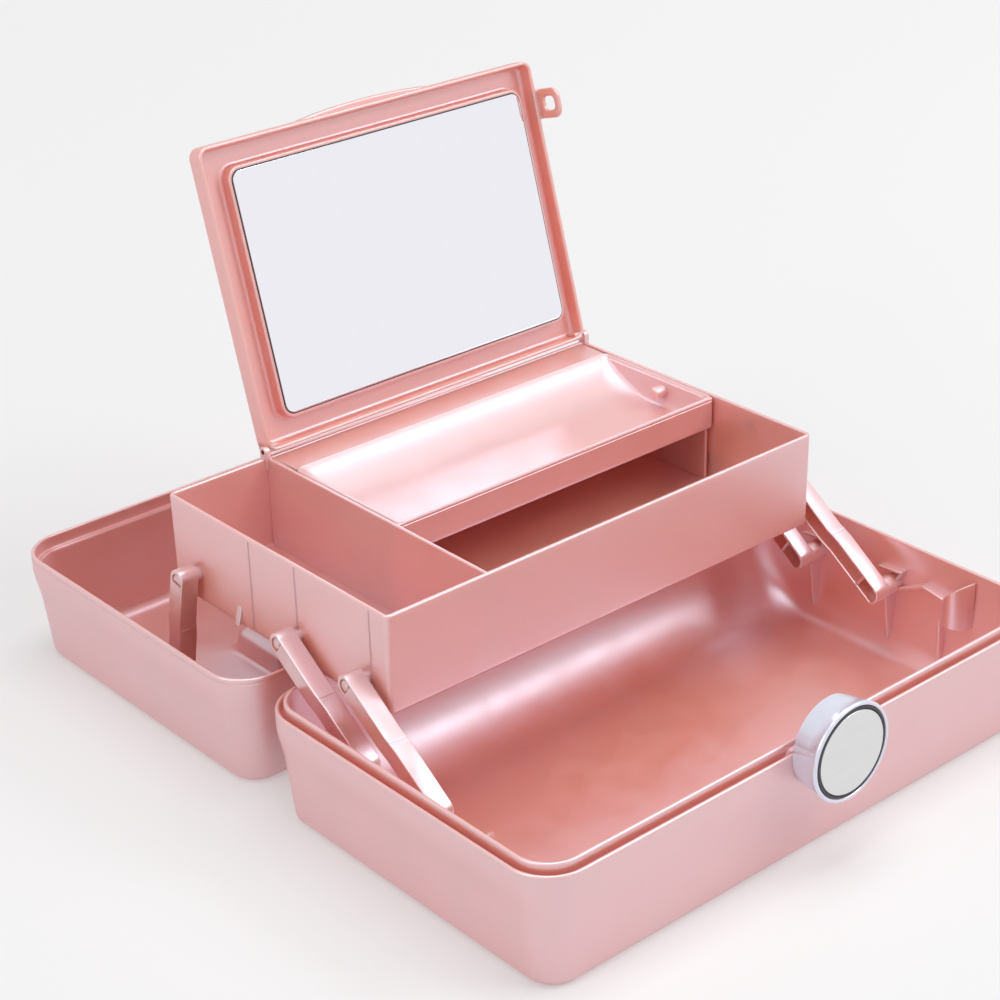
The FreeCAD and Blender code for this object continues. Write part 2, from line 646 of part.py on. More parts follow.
def make_arm(label, side, length, y, z, angle, plugged=False):
    """A channel arm: a flat plate on the outer side with a rim all round towards the tray."""
    body = new_body(label + "_body")
    blank = joggled(body, label + "_outline", length, "arm_radius", "arm_relief")
    pad(body, label + "_blank", blank, "arm_depth", down=side < 0)
    inside = joggled(
        body, label + "_inside", length, "arm_radius - arm_wall", "arm_relief - arm_wall"
    )
    pocket(body, label + "_channel", inside, "arm_depth - arm_plate", up=side > 0)
    turn_by(body, angle)
    place(body, f"{ARM_INNER} * {side}", y, z)
    web = doc.addObject("Part::Box", label + "_web")
    below = "(arm_relief - arm_wall / 2)"
    deep = "(arm_depth - arm_plate + 0.5)"
    bind(
        web, Length=deep, Width="web_thickness",
        Height=f"{below} + arm_radius - arm_wall / 2",
    )
    far = "(arm_radius + web_set)"
    turned_y = f"{far} * cos({angle}) + {below} * sin({angle})"
    turned_z = f"{far} * sin({angle}) - {below} * cos({angle})"
    turn_by(web, angle)
    inset = deep if side < 0 else "0"
    place(web, f"{ARM_INNER} * {side} - {inset}", f"({y}) + {turned_y}", f"({z}) + {turned_z}")
    tip_y = f"({y}) + ({length}) * cos({angle})"
    tip_z = f"({z}) + ({length}) * sin({angle})"
    holes = []
    ends = (("low", y, z), ("high", tip_y, tip_z))
    for tag, hole_y, hole_z in ends[:1] if plugged else ends:
        holes.append(
            rod(
                f"{label}_{tag}_hole", side, f"{ARM_INNER} + 0.5", hole_y, hole_z,
                "pivot_pin + running", "arm_depth + 1",
            )
        )
    slot = rod(
        f"{label}_slot", side, f"{ARM_OUTER} - slot_depth", tip_y, tip_z, "slot_radius", "2"
    )
    chord = doc.addObject("Part::Box", label + "_chord")
    bind(chord, Length="5 * slot_depth", Width="slot_radius", Height="3 * slot_radius")
    turn_by(chord, angle)
    back = f"({length} - slot_flat - slot_radius)"
    half = "1.5 * slot_radius"
    place(
        chord, f"{ARM_OUTER} * {side} - 2.5 * slot_depth",
        f"({y}) + {back} * cos({angle}) + {half} * sin({angle})",
        f"({z}) + {back} * sin({angle}) - {half} * cos({angle})",
    )
    void = [chord]
    if plugged:
        void.append(
            rod(
                f"{label}_plug", side, f"{ARM_OUTER} - arm_plate", tip_y, tip_z, "pivot_pin",
                "arm_plate - plug_recess",
            )
        )
    holes.append(cut(label + "_slot_cut", slot, void))
    return finish(cut(label + "_cut", join(label + "_join", [body, web]), holes), label)


def make_arms():
    for side, name in SIDES:
        for arm, y in arm_places():
            make_arm(
                f"{arm}_arm_{name}", side, "arm_length", y, "pivot_rise", ARM_LEAN
            )
        make_arm(
            f"rear_arm_{name}", side, REAR_LENGTH, "lid_pivot_back", "lid_pivot_rise", REAR_LEAN,
            True,
        )


def snap_pin(tag, side, y, z, length):
    """A pivot pin with a retaining head inside the arm's channel."""
    head_start = f"{ARM_OUTER} - arm_plate - play - head_thickness"
    shank = rod(f"shank_{tag}", side, head_start, y, z, "pivot_pin", length)
    head = rod(f"head_{tag}", side, head_start, y, z, "pivot_head", "head_thickness")
    return join(f"snap_pin_{tag}", [shank, head])


def make_pivot_pins():
    """Pins that hold the lower ends of the arms in the bosses of both shells."""
    length = f"{WALL_REACH} - 2 - ({ARM_OUTER} - arm_plate - play - head_thickness)"
    for side, name in SIDES:
        pins = [snap_pin(f"{arm}_{name}", side, y, "pivot_rise", length) for arm, y in arm_places()]
        finish(group(f"base_pins_{name}", pins), f"base_pivot_pins_{name}")
        pin = snap_pin(f"lid_{name}", side, "lid_pivot_back", "lid_pivot_rise", length)
        finish(pin, f"lid_pivot_pin_{name}")


# ---------------------------------------------------------------- tray
def tray_cavity(body, name, width, x):
    """One bin of the tray, drafted like its outside."""
    sketch = rounded_outline(
        body, name + "_outline", width, "tray_depth - 2 * tray_wall", "tray_corner - 1", "tray_tall"
    )
    sketch.setExpression(".AttachmentOffset.Base.x", expand(x))
    return pocket(body, name, sketch, "tray_tall - tray_floor", "tray_draft")


def make_tray_box():
    body = new_body("tray_body")
    outline = rounded_outline(
        body, "tray_outline", "tray_width", "tray_depth", "tray_corner", "tray_tall"
    )
    pad(body, "tray_block", outline, "tray_tall", "tray_draft", down=True)
    small = "bin_width - 1.5 * tray_wall"
    large = "tray_width - bin_width - 1.5 * tray_wall"
    tray_cavity(body, "left_bin", small, f"tray_wall + ({small}) / 2 - tray_width / 2")
    tray_cavity(body, "main_bin", large, f"tray_width / 2 - tray_wall - ({large}) / 2")
    place(body, "0", f"{TRAY_FRONT} + tray_depth / 2", TRAY_BOTTOM)
    solids, holes = [body], []
    for side, name in SIDES:
        for arm, pitch in (("front", "0"), ("middle", "arm_pitch")):
            y = f"{TRAY_PIVOT_Y} + {pitch}"
            solids.append(
                rod(
                    f"tray_peg_{arm}_{name}", side, "tray_width / 2 - stud_root", y, TRAY_PIVOT_Z,
                    "pivot_pin", f"{ARM_OUTER} - tray_width / 2 + stud_root",
                )
            )
            solids.append(
                rod(
                    f"tray_collar_{arm}_{name}", side, "tray_width / 2 - stud_root", y, TRAY_PIVOT_Z,
                    "collar_radius", "arm_gap + stud_root - play",
                )
            )
        solids.append(
            rod(
                f"tray_stud_{name}", side, "tray_width / 2 - stud_root",
                f"{TRAY_PIVOT_Y} + rear_stud_back", f"{TRAY_PIVOT_Z} + rear_stud_rise",
                "collar_radius", "arm_gap + stud_root - play",
            )
        )
        stop = doc.addObject("Part::Wedge", f"stop_tab_{name}")
        stop.Xmin, stop.Ymin, stop.Zmin, stop.X2min, stop.Z2min = 0, 0, 0, 0, 0
        bind(
            stop, Xmax="tab_reach", Ymax="tab_tall", Zmax="tab_thickness", X2max="tab_tip",
            Z2max="tab_thickness",
        )
        stop.Placement.Rotation = FreeCAD.Rotation(X_AXIS, 90)
        if side < 0:
            turn = FreeCAD.Rotation(Vector(0, 0, 1), 180)
            stop.Placement.Rotation = turn * FreeCAD.Rotation(X_AXIS, 90)
        place(
            stop, f"(tray_width / 2 - 1.3) * {side}", f"{TRAY_PIVOT_Y} + tab_back",
            f"{TRAY_BOTTOM} + 0.6",
        )
        solids.append(stop)
        ear_start, post = mirror_ear_place(side)
        ear = rod(
            f"ear_round_{name}", 1, ear_start, MIRROR_Y, MIRROR_Z, "mirror_pin + ear_wall", "ear_width"
        )
        foot = box(
            f"ear_foot_{name}", ear_start, f"{MIRROR_Y} - mirror_pin - ear_wall",
            f"{TRAY_TOP} - ear_root", "ear_width", "2 * (mirror_pin + ear_wall)",
            f"{MIRROR_Z} - {TRAY_TOP} + ear_root",
        )
        root = box(
            f"ear_root_{name}", post[0], f"{MIRROR_Y} - mirror_pin - ear_wall",
            f"{TRAY_TOP} - ear_root", post[1], "2 * (mirror_pin + ear_wall) - mirror_axis_inset",
            "ear_root",
        )
        solids += [ear, foot, root]
        holes.append(
            rod(
                f"ear_bore_{name}", 1, f"{ear_start} - 1", MIRROR_Y, MIRROR_Z, "mirror_pin + pin_fit",
                "ear_width + 2",
            )
        )
    nub = rod(
        "catch_nub_rod", 1, "tray_width / 2 - stud_root",
        f"{MIRROR_Y} + mirror_overhang - mirror_length + loop_back",
        f"{MIRROR_Z} - rim_below_axis - loop_reach / 2 - 1.5", "catch_nub",
        "stud_root + loop_gap - play + 0.1",
    )
    solids.append(nub)
    return finish(cut("tray_cut", join("tray_join", solids), holes), "tray_box")


def mirror_ear_place(side):
    """Where each hinge ear of the mirror lid starts along X, and the root that carries it."""
    if side < 0:
        start = f"{PARTITION_X} - play - ear_width"
        return start, (start, "ear_width + 1")
    start = f"{PARTITION_X} + mirror_width + play"
    return start, ("tray_width / 2 - stud_root", f"{start} + ear_width - tray_width / 2 + stud_root")


def make_scoop_shelf():
    """A shallow open scoop across the back of the large bin, with a flat strip behind it."""
    left = f"({PARTITION_X} + tray_wall / 2 + play)"
    long = "(tray_width - bin_width - 1.5 * tray_wall - play - shelf_side_gap)"
    front = f"({TRAY_FRONT} + shelf_front)"
    top = f"({TRAY_TOP} - shelf_drop)"
    floor = f"({top} - scoop_depth)"
    block = box("shelf_block", left, front, f"{top} - shelf_tall", long, "shelf_depth", "shelf_tall")
    flat = box(
        "scoop_floor", f"{left} + shelf_wall", f"{front} + shelf_wall", floor,
        f"{long} - 2 * shelf_wall", "scoop_flat", "scoop_depth + 1",
    )
    sweep = "(shelf_depth - scoop_back - scoop_flat - shelf_wall)"
    radius = f"(({sweep} * {sweep} + scoop_depth * scoop_depth) / (2 * scoop_depth))"
    curve = rod(
        "scoop_curve", 1, f"{left} + shelf_wall", f"{front} + shelf_wall + scoop_flat",
        f"{floor} + {radius}", radius, f"{long} - 2 * shelf_wall",
    )
    limit = box(
        "scoop_limit", left, f"{front} + shelf_wall + scoop_flat - 0.01", floor, long, sweep,
        "scoop_depth + 1",
    )
    rounded = doc.addObject("Part::Common", "scoop_back_curve")
    rounded.Base, rounded.Tool = curve, limit
    under = box(
        "shelf_underside", f"{left} - 1", f"{front} + shelf_depth - scoop_back", f"{top} - shelf_tall - 1",
        f"{long} + 2", "scoop_back + 1", "shelf_tall + 1 - shelf_wall",
    )
    hollow = box(
        "scoop_hollow", f"{left} + shelf_wall", f"{front} + shelf_wall + scoop_flat",
        f"{top} - shelf_tall - 1", f"{long} - 2 * shelf_wall", f"{sweep} + 1", "shelf_tall",
    )
    skin = rod(
        "scoop_skin", 1, left, f"{front} + shelf_wall + scoop_flat", f"{floor} + {radius}",
        f"{radius} + shelf_tall - scoop_depth", long,
    )
    scoop = cut("scoop_cut", block, [flat, rounded, under, cut("scoop_under", hollow, [skin])])
    nub = rod(
        "scoop_nub", -1, f"-({left} + {long} - shelf_wall + 0.5)", f"{front} + shelf_nub_back",
        f"{top} - shelf_nub_reach", "shelf_nub", "shelf_nub_reach",
    )
    legs = []
    for tag, x in (("left", f"{left} + 0.8"), ("right", f"{left} + {long} - shelf_leg - 0.8")):
        legs.append(
            box(
                f"shelf_leg_{tag}", x, f"{front} + 3", f"{TRAY_BOTTOM} + tray_floor + 0.05",
                "shelf_leg", "shelf_leg_length",
                f"{top} - shelf_tall - {TRAY_BOTTOM} - tray_floor + 0.5",
            )
        )
    return finish(join("shelf_join", [scoop, nub] + legs), "scoop_shelf")


# ---------------------------------------------------------------- mirror lid
MIRROR_X = f"({PARTITION_X} + mirror_width / 2)"
MIRROR_MID = "(mirror_overhang - mirror_length / 2)"
MIRROR_TOP = "(mirror_deep - rim_below_axis)"
GLASS_SEAT = f"({MIRROR_TOP} - mirror_wall - pad_rise + glass_sink)"


def turn_about_mirror_axis(item):
    """Swing a piece drawn lying closed over the tray up to its open, leaning place."""
    item.Placement.Rotation = FreeCAD.Rotation(Vector(-1, 0, 0), 100)
    item.setExpression(".Placement.Rotation.Angle", expand("(180 - mirror_tilt) * 1deg"))
    return place(item, "0", MIRROR_Y, MIRROR_Z)


def mirror_outline(body, name, width, length, corner, height, middle=MIRROR_MID, shift="0"):
    """A rounded rectangle on the mirror's own centre line, or beside it by shift."""
    sketch = rounded_outline(body, name, width, length, corner, height, middle)
    sketch.setExpression(".AttachmentOffset.Base.x", expand(f"{MIRROR_X} + {shift}"))
    return sketch


def mirror_pan():
    """A shallow pan with a rim, a raised frame round the glass and a finger lip."""
    body = new_body("mirror_body")
    outline = mirror_outline(
        body, "pan_outline", "mirror_width", "mirror_length", "5", "-rim_below_axis"
    )
    pad(body, "pan", outline, "mirror_deep")
    hollow = mirror_outline(
        body, "pan_hollow_outline", "mirror_width - 2 * mirror_wall",
        "mirror_length - 2 * mirror_wall", "3", "-rim_below_axis",
    )
    pocket(body, "pan_hollow", hollow, "mirror_deep - mirror_wall", up=True)
    face = f"{MIRROR_TOP} - mirror_wall - pad_rise"
    frame = mirror_outline(
        body, "frame_outline", "glass_width + 2 * frame_width", "glass_length + 2 * frame_width",
        "6", face, shift="glass_shift",
    )
    pad(body, "glass_frame", frame, "pad_rise + 0.5")
    seat = mirror_outline(
        body, "seat_outline", "glass_width + seat_play", "glass_length + seat_play", "5.2", face,
        shift="glass_shift",
    )
    pocket(body, "glass_seat", seat, "glass_sink", up=True)
    hollow_back = mirror_outline(
        body, "back_recess_outline", "glass_width + 2 * frame_width - 2 * mirror_wall",
        "glass_length + 2 * frame_width - 2 * mirror_wall", "4.4", MIRROR_TOP, shift="glass_shift",
    )
    pocket(body, "back_recess", hollow_back, "pad_rise - glass_sink")
    lip = mirror_outline(
        body, "lip_outline", "lip_width", "lip_depth", "6.5", f"{MIRROR_TOP} - mirror_wall",
        "mirror_overhang - mirror_length + lip_depth / 2 - lip_reach",
    )
    pad(body, "finger_lip", lip, "mirror_wall")
    return body


def mirror_catch():
    """The catch loop that hangs from the mirror lid's side, and the window in it."""
    loop_y = "(mirror_overhang - mirror_length + loop_back)"
    loop_x = "(tray_width / 2 + loop_gap)"
    side_x = f"({PARTITION_X} + mirror_width - 1)"
    plate = box(
        "loop_block", loop_x, f"{loop_y} - loop_width / 2", "-rim_below_axis - loop_reach",
        "loop_plate", "loop_width", "loop_reach + 4",
    )
    root = box(
        "loop_root", side_x, f"{loop_y} - loop_width / 2", "-rim_below_axis + 0.4",
        f"{loop_x} + loop_plate - {side_x}", "loop_width", "3.6",
    )
    window = box(
        "loop_window", f"{loop_x} - 0.5", f"{loop_y} - loop_width / 2 + loop_frame",
        "-rim_below_axis - loop_reach + loop_frame - 0.2", "loop_plate + 3.2",
        "loop_width - 2 * loop_frame", "loop_reach - 5",
    )
    return join("loop_join", [plate, root]), window


def make_mirror_lid():
    """The pan with its catch loop, and a block at each hinge pin."""
    loop, window = mirror_catch()
    solids, bores = [mirror_pan(), loop], [window]
    for side, name in SIDES:
        start = PARTITION_X if side < 0 else f"({PARTITION_X} + mirror_width)"
        bores.append(
            rod(
                f"pan_bore_{name}", -side, f"{start} * {-side} - 1", "0", "0",
                "mirror_pin + running", "mirror_pin_length + 1",
            )
        )
        inner = f"{start} + 0.5" if side < 0 else f"{start} - 6.5"
        solids.append(
            box(f"pin_block_{name}", inner, "-2.6", "-rim_below_axis", "6", "3.8", "mirror_deep - 0.5")
        )
    lid = cut("mirror_cut", join("mirror_join", solids), bores)
    return finish(turn_about_mirror_axis(lid), "mirror_lid")


def make_mirror_glass():
    """The glass, and the thinner mounting tape that holds it in its seat."""
    panes = (
        ("mirror_glass", "0", f"{GLASS_SEAT} - tape_thickness - glass_thickness", "glass_thickness"),
        ("mirror_adhesive", "tape_inset", f"{GLASS_SEAT} - tape_thickness", "tape_thickness"),
    )
    for label, inset, start, thickness in panes:
        body = new_body(label + "_body")
        sketch = mirror_outline(
            body, label + "_outline", f"glass_width - 2 * {inset}", f"glass_length - 2 * {inset}",
            "5", start, shift="glass_shift",
        )
        pad(body, label + "_pane", sketch, thickness)
        finish(turn_about_mirror_axis(body), label)


def make_mirror_pins():
    for side, name in SIDES:
        ear_start, _ = mirror_ear_place(side)
        start = ear_start if side < 0 else f"{ear_start} + ear_width"
        pin = rod(
            f"mirror_pin_body_{name}", -side, f"({start}) * {-side}", MIRROR_Y, MIRROR_Z,
            "mirror_pin", "mirror_pin_length",
        )
        finish(pin, f"mirror_pin_{name}")


# ---------------------------------------------------------------- carrying handle
HANDLE_Y = f"({LID_Y} - well_shift - well_depth / 2 + handle_edge)"


def make_handle():
    """A flat bail: a grip bar with a leg at each end, folded into the well of the lid."""
    body = new_body("handle_body")
    total = "(well_depth - handle_edge - handle_gap + handle_thickness / 2)"
    middle = f"({total} / 2 - handle_thickness / 2)"
    outline = rounded_outline(
        body, "handle_outline", "handle_width", total, "4.4", "-handle_thickness / 2", middle
    )
    pad(body, "handle_blank", outline, "handle_thickness")
    gap = rounded_outline(
        body, "finger_outline", "handle_width - 2 * handle_leg", total, "5",
        "-handle_thickness / 2", f"{middle} - handle_bar",
    )
    pocket(body, "finger_gap", gap, "handle_thickness", up=True)
    place(body, "0", HANDLE_Y, "handle_sink")
    holes = []
    for side, name in SIDES:
        holes.append(
            rod(
                f"leg_bore_{name}", side, "handle_width / 2 - handle_leg - 1", HANDLE_Y,
                "handle_sink", "handle_pin + running", "handle_leg + 2",
            )
        )
        corner = box(
            f"leg_corner_{name}", f"handle_width / 2 * {side} - 20", f"{HANDLE_Y} - 10",
            "handle_sink - 10", "40", "10", "20",
        )
        barrel = rod(
            f"leg_end_{name}", 1, f"handle_width / 2 * {side} - 20", HANDLE_Y, "handle_sink",
            "handle_thickness / 2", "40",
        )
        holes.append(cut(f"leg_round_{name}", corner, [barrel]))
    return finish(cut("handle_cut", body, holes), "carry_handle")


def make_handle_pins():
    for side, name in SIDES:
        pin = rod(
            f"handle_pin_body_{name}", side, "handle_width / 2 - handle_leg + 1", HANDLE_Y,
            "handle_sink", "handle_pin", "(well_width - handle_width) / 2 + handle_leg - 1 + 1.5",
        )
        finish(pin, f"handle_pin_{name}")


# ---------------------------------------------------------------- latch
LATCH_FACE = "(-case_depth / 2 - latch_reach)"


def disc(name, y, radius, length):
    """A round plate that faces forwards, running rearwards from y."""
    return rod(name, -1, "0", f"({y}) + ({length})", "latch_centre", radius, length, Y_AXIS)


def make_latch_housing():
    """A round cup on the front collar: open to the front, slotted behind for the hook."""
    cup = doc.addObject("Part::Cone", "housing_outer")
    bind(cup, Radius1="latch_root", Radius2="latch_radius", Height="latch_reach")
    cup.Placement.Rotation = FreeCAD.Rotation(Vector(0, 0, 1), Y_AXIS * -1)
    place(cup, "0", "-case_depth / 2", "latch_centre")
    bore = disc(
        "housing_bore", f"{LATCH_FACE} - 1", "ring_radius - ring_width",
        "latch_reach + 1 - latch_back",
    )
    ring_seat = disc(
        "ring_seat", f"{LATCH_FACE} - 1", "ring_radius + play / 2", "ring_thickness + play + 1.1"
    )
    relief = centred_box(
        "lid_relief", "-case_depth / 2 - play - 0.2", "shell_height", "2 * latch_radius + 2", "2", "30"
    )
    window = centred_box(
        "hook_window", "-case_depth / 2 - latch_back - 2", "nose_rise - nose_tall - 1.5",
        "hook_width + 1.5", "6", "nose_tall + 8",
    )
    ears = []
    for side, name in SIDES:
        ears.append(
            centred_box(
                f"hook_ear_{name}",
                "-case_depth / 2 - latch_back - hook_setback + hook_thickness / 2 - 2.6",
                "hook_pivot - 3", "2", "hook_setback + 3.4 - hook_thickness / 2", "6",
                f"(hook_width / 2 + 1.3) * {side}",
            )
        )
    pin_hole = rod(
        "ear_pin_hole", 1, "-hook_width / 2 - 4", HOOK_Y, "hook_pivot", "hook_pin + pin_fit",
        "hook_width + 8",
    )
    shell = cut("housing_shell", cup, [bore, ring_seat, relief, window])
    housing = join("housing_join", [shell] + ears)
    return finish(cut("housing_cut", housing, [pin_hole]), "latch_housing")


HOOK_Y = "(-case_depth / 2 - latch_back - hook_setback)"


def make_latch_ring():
    outer = disc("ring_outer", f"{LATCH_FACE} + 0.2", "ring_radius", "ring_thickness")
    inner = disc("ring_inner", f"{LATCH_FACE} - 1", "ring_radius - ring_width", "ring_thickness + 3")
    return finish(cut("ring_cut", outer, [inner]), "button_ring")


def make_latch_button():
    """The push disc with its bright face plate, a shank for the hook and two spring spigots."""
    reach = "ring_radius - ring_width - play"
    face = f"{LATCH_FACE} + plate_thickness"
    carrier = disc("button_disc", face, reach, "button_thickness")
    shank = centred_box(
        "button_shank", f"{face} + button_thickness - 0.5", "hook_pivot - hook_tail + 0.5",
        "6", f"{HOOK_Y} - hook_thickness / 2 - play - ({face}) - button_thickness + 0.5", "3",
    )
    cups, hollows = [], []
    for side, name in SIDES:
        start = f"{face} + button_thickness"
        for tag, radius, parts in (
            ("cup", "spring_radius + play + 0.9", cups), ("cup_bore", "spring_radius + play", hollows)
        ):
            parts.append(
                rod(
                    f"{tag}_{name}", -1, f"spring_offset * {side}", f"{start} + 4.5",
                    "latch_centre", radius, "4.5 + 0.5" if tag == "cup" else "4.5", Y_AXIS,
                )
            )
    button = cut("button_cut", join("button_join", [carrier, shank] + cups), hollows)
    finish(button, "latch_button")
    plate = disc("button_plate_body", LATCH_FACE, reach, "plate_thickness")
    return finish(plate, "button_plate")


def make_latch_hook():
    """A rocker on a cross pin: its nose reaches back over the rim into the lid's window."""
    blade = centred_box(
        "hook_blade", f"{HOOK_Y} - hook_thickness / 2", "hook_pivot - hook_tail", "hook_width",
        "hook_thickness", "nose_rise - hook_pivot + hook_tail",
    )
    nose = centred_box(
        "hook_nose", f"{HOOK_Y} - hook_thickness / 2", "nose_rise - nose_tall", "hook_width",
        "hook_setback + latch_back + lid_rim + hook_thickness / 2 - 0.4", "nose_tall",
    )
    barrel = rod(
        "hook_barrel", 1, "-hook_width / 2", HOOK_Y, "hook_pivot", "hook_pin + 1.2", "hook_width"
    )
    hole = rod(
        "hook_hole", 1, "-hook_width / 2 - 1", HOOK_Y, "hook_pivot", "hook_pin + running",
        "hook_width + 2",
    )
    finish(cut("hook_cut", join("hook_join", [blade, nose, barrel]), [hole]), "latch_hook")
    pin = rod(
        "hook_pin_body", 1, "-hook_width / 2 - 2.3", HOOK_Y, "hook_pivot", "hook_pin",
        "hook_width + 4.6",
    )
    return finish(pin, "latch_hook_pin")


def make_latch_springs():
    """Two small compression springs between the cup's back plate and the button."""
    coils = []
    front = -size("case_depth") / 2 - size("latch_reach")
    start = front + size("plate_thickness") + size("button_thickness") + size("button_travel") + 0.2
    end = -size("case_depth") / 2 - size("latch_back") + 0.3
    wire, radius = size("spring_wire") / 2, size("spring_radius") - size("spring_wire") / 2
    length = end - start - 2 * wire
    centre = size("shell_height") - size("latch_drop")
    for side, name in SIDES:
        helix = Part.makeHelix(length / 5, length, radius)
        profile = Part.Wire([Part.makeCircle(wire, Vector(radius, 0, 0), Y_AXIS)])
        coil = Part.Wire(helix).makePipeShell([profile], True, True)
        coil.rotate(Vector(0, 0, 0), X_AXIS, -90)
        coil.translate(Vector(side * size("spring_offset"), start + wire, centre))
        coils.append(coil)
    item = doc.addObject("Part::Feature", "latch_springs_body")
    item.Shape = Part.makeCompound(coils)
    return finish(item, "latch_springs")


# ---------------------------------------------------------------- build and write
def check_and_write():
    doc.recompute()
    for item in doc.Objects:
        if "Invalid" in item.State or "Error" in item.State:
            raise RuntimeError(f"{item.Name} failed: {item.State}")
    for item in pieces:
        if item.Shape.isNull() or not item.Shape.isValid() or not item.Shape.Solids:
            raise RuntimeError(f"{item.Label} has no valid solid")
    os.makedirs("parts", exist_ok=True)
    for item in pieces:
        item.Shape.exportStep(os.path.join("parts", item.Label + ".step"))
        bounds = item.Shape.BoundBox
        print(
            f"{item.Label:24s} {len(item.Shape.Solids)} solid  {item.Shape.Volume:10.0f} mm3  "
            f"{bounds.XMin:.1f}..{bounds.XMax:.1f} {bounds.YMin:.1f}..{bounds.YMax:.1f} "
            f"{bounds.ZMin:.1f}..{bounds.ZMax:.1f}"
        )


make_base_shell()
make_lid_shell()
make_hinge_pins()
make_arms()
make_pivot_pins()
make_tray_box()
make_scoop_shelf()
make_mirror_lid()
make_mirror_glass()
make_mirror_pins()
make_handle()
make_handle_pins()
make_latch_housing()
make_latch_ring()
make_latch_button()
make_latch_hook()
make_latch_springs()
check_and_write()
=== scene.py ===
import math

import bmesh
import bpy
import numpy as np
from mathutils import Matrix, Vector


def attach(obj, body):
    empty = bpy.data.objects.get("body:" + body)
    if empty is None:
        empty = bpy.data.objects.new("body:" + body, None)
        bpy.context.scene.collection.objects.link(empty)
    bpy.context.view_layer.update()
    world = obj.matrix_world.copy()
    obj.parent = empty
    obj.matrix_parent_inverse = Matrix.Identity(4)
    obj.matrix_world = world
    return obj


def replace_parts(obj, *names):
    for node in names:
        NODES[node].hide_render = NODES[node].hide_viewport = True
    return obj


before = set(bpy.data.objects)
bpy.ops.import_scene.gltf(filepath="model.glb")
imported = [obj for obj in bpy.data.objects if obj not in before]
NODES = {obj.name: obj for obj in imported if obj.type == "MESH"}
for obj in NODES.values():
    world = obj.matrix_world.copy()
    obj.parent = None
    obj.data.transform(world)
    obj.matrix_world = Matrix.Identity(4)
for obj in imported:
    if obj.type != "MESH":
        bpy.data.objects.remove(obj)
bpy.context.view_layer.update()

MM = 0.001
SHARP_ANGLE = math.radians(42)

# ---- sizes, in millimetres
# Both tubs: their outline, and the collar that stands out from the body below it.
WIDTH, DEPTH, CORNER = 331.0, 194.0, 21.5
RIM_Z, COLLAR_Z, FLOOR_Z = 60.0, 40.0, 2.6
SIDE_STEP, FRONT_STEP, STEP_LOW, STEP_HIGH = 3.1, 1.4, 33.0, 53.0
OUT_ANGLE, BEND, EDGE_ROUND = math.radians(6), 3.0, 4.5
OUT_LEAN = math.tan(OUT_ANGLE)
HINGE_Y, HINGE_X, BARREL_R = 104.75, 95.0, 5.5
LID_Y = 2 * HINGE_Y
END_WALL = 160.3

# The base tub: rim lip, groove and tongue, the rounds between its walls and its floor, and the
# fill in the groove behind the latch.
LIP, GROOVE, TONGUE, TONGUE_Z, GROOVE_Z = 1.9, 2.1, 2.0, 63.5, 54.0
BASE_LEAN = math.tan(math.radians(2.9))
ROUND_LONG, ROUND_END = 36.0, 12.0
FILL_HALF, FILL_FADE, FILL_DROP, FILL_RISE = 22.4, 2.4, 0.2, 0.35

# The lid tub: rim, ledge, window for the latch's keeper, and the well for the handle.
LID_RIM, LEDGE_Z, LEDGE, LID_ROUND = 2.2, 53.0, 2.4, 7.0
LID_LEAN = math.tan(math.radians(5))
WINDOW_X, WINDOW_LOW, WINDOW_HIGH = 6.0, 51.3, 56.7
WELL_W, WELL_D, WELL_Y, WELL_SINK, WELL_WALL = 176.0, 42.0, 207.0, 12.4, 2.2
WELL_DRAFT, WELL_TOP_ROUND = 0.1051, 4.0

# Arms: lower pivots as (y, z), lean from level, and length between pivots.
ARM_FACES, ARM_GAP, BOSS_R, STUD_R, PIN_R = (137.9, 147.8), 0.3, 5.0, 3.4, 1.8
ARM_PIVOTS, ARM_LEAN, ARM_LENGTH = ((-3.0, 41.0), (47.6, 41.0)), math.radians(35.577), 68.24
REAR_PIVOT, REAR_LEAN, REAR_LENGTH = (195.0, 25.0), math.radians(101.886), 58.25
ARM_R, ARM_RELIEF, ARM_RAMP, ARM_ARC = 5.5, 4.35, 9.0, 15
ARM_PLATE, ARM_WALL, ARM_EDGE, ARM_FILLET = 2.0, 1.3, 0.55, 0.6
PEG_R, PEG_FLAT, PEG_POINTS, RECESS = 3.7, 2.0, 25, 1.6

# Tray, with the upper pivots of the arms, and the scoop shelf that lies in it.
TRAY_W, TRAY_LOW, TRAY_HIGH, TRAY_FRONT, TRAY_REAR = 271.0, 67.5, 117.4, 36.4, 203.6
TRAY_WALL, TRAY_FLOOR, TRAY_ROOT = 2.0, 2.2, 134.0
TRAY_DRAFT = math.tan(math.radians(0.5))
PARTITION = (-78.0, -76.0)
TRAY_PIVOTS, REAR_STUD = ((52.502, 80.702), (103.102, 80.702)), (183.002, 82.002)
MOULD_LINES = (48.6, 102.8, 138.0)
SHELF_X, SHELF_Y, SHELF_Z = (-75.7, 132.5), (101.6, 201.2), (100.0, 117.0)
SCOOP_FLAT, SCOOP_BACK, SCOOP_FLOOR, SCOOP_ROUND, SHELF_BEAD = 150.6, 180.8, 103.0, 2.6, 0.8
NUB, NUB_R = (135.2, 111.0), 3.5

# Mirror lid and pane: width, height and middle, in the lid's own plane.
MIRROR_AXIS, MIRROR_LEAN = (203.002, 120.502), math.radians(73.8)
PAN = (212.0, 151.9, (29.0, 74.75))
PANE = (184.4, 122.1, (31.5, 74.75))
PAN_BACK, PAN_FLOOR, PAN_CORNER, PANE_CORNER = -8.0, -6.0, 5.5, 5.0

# Finger cups: rim height at the middle, its fall per millimetre, and the reach from the wall.
CUP_CENTRE, CUP_R, CUP_FOOT, CUP_TOP, CUP_FALL, CUP_REACH = (158.3, -44.5), 8.2, 34.5, 52.0, 0.88, 1.2

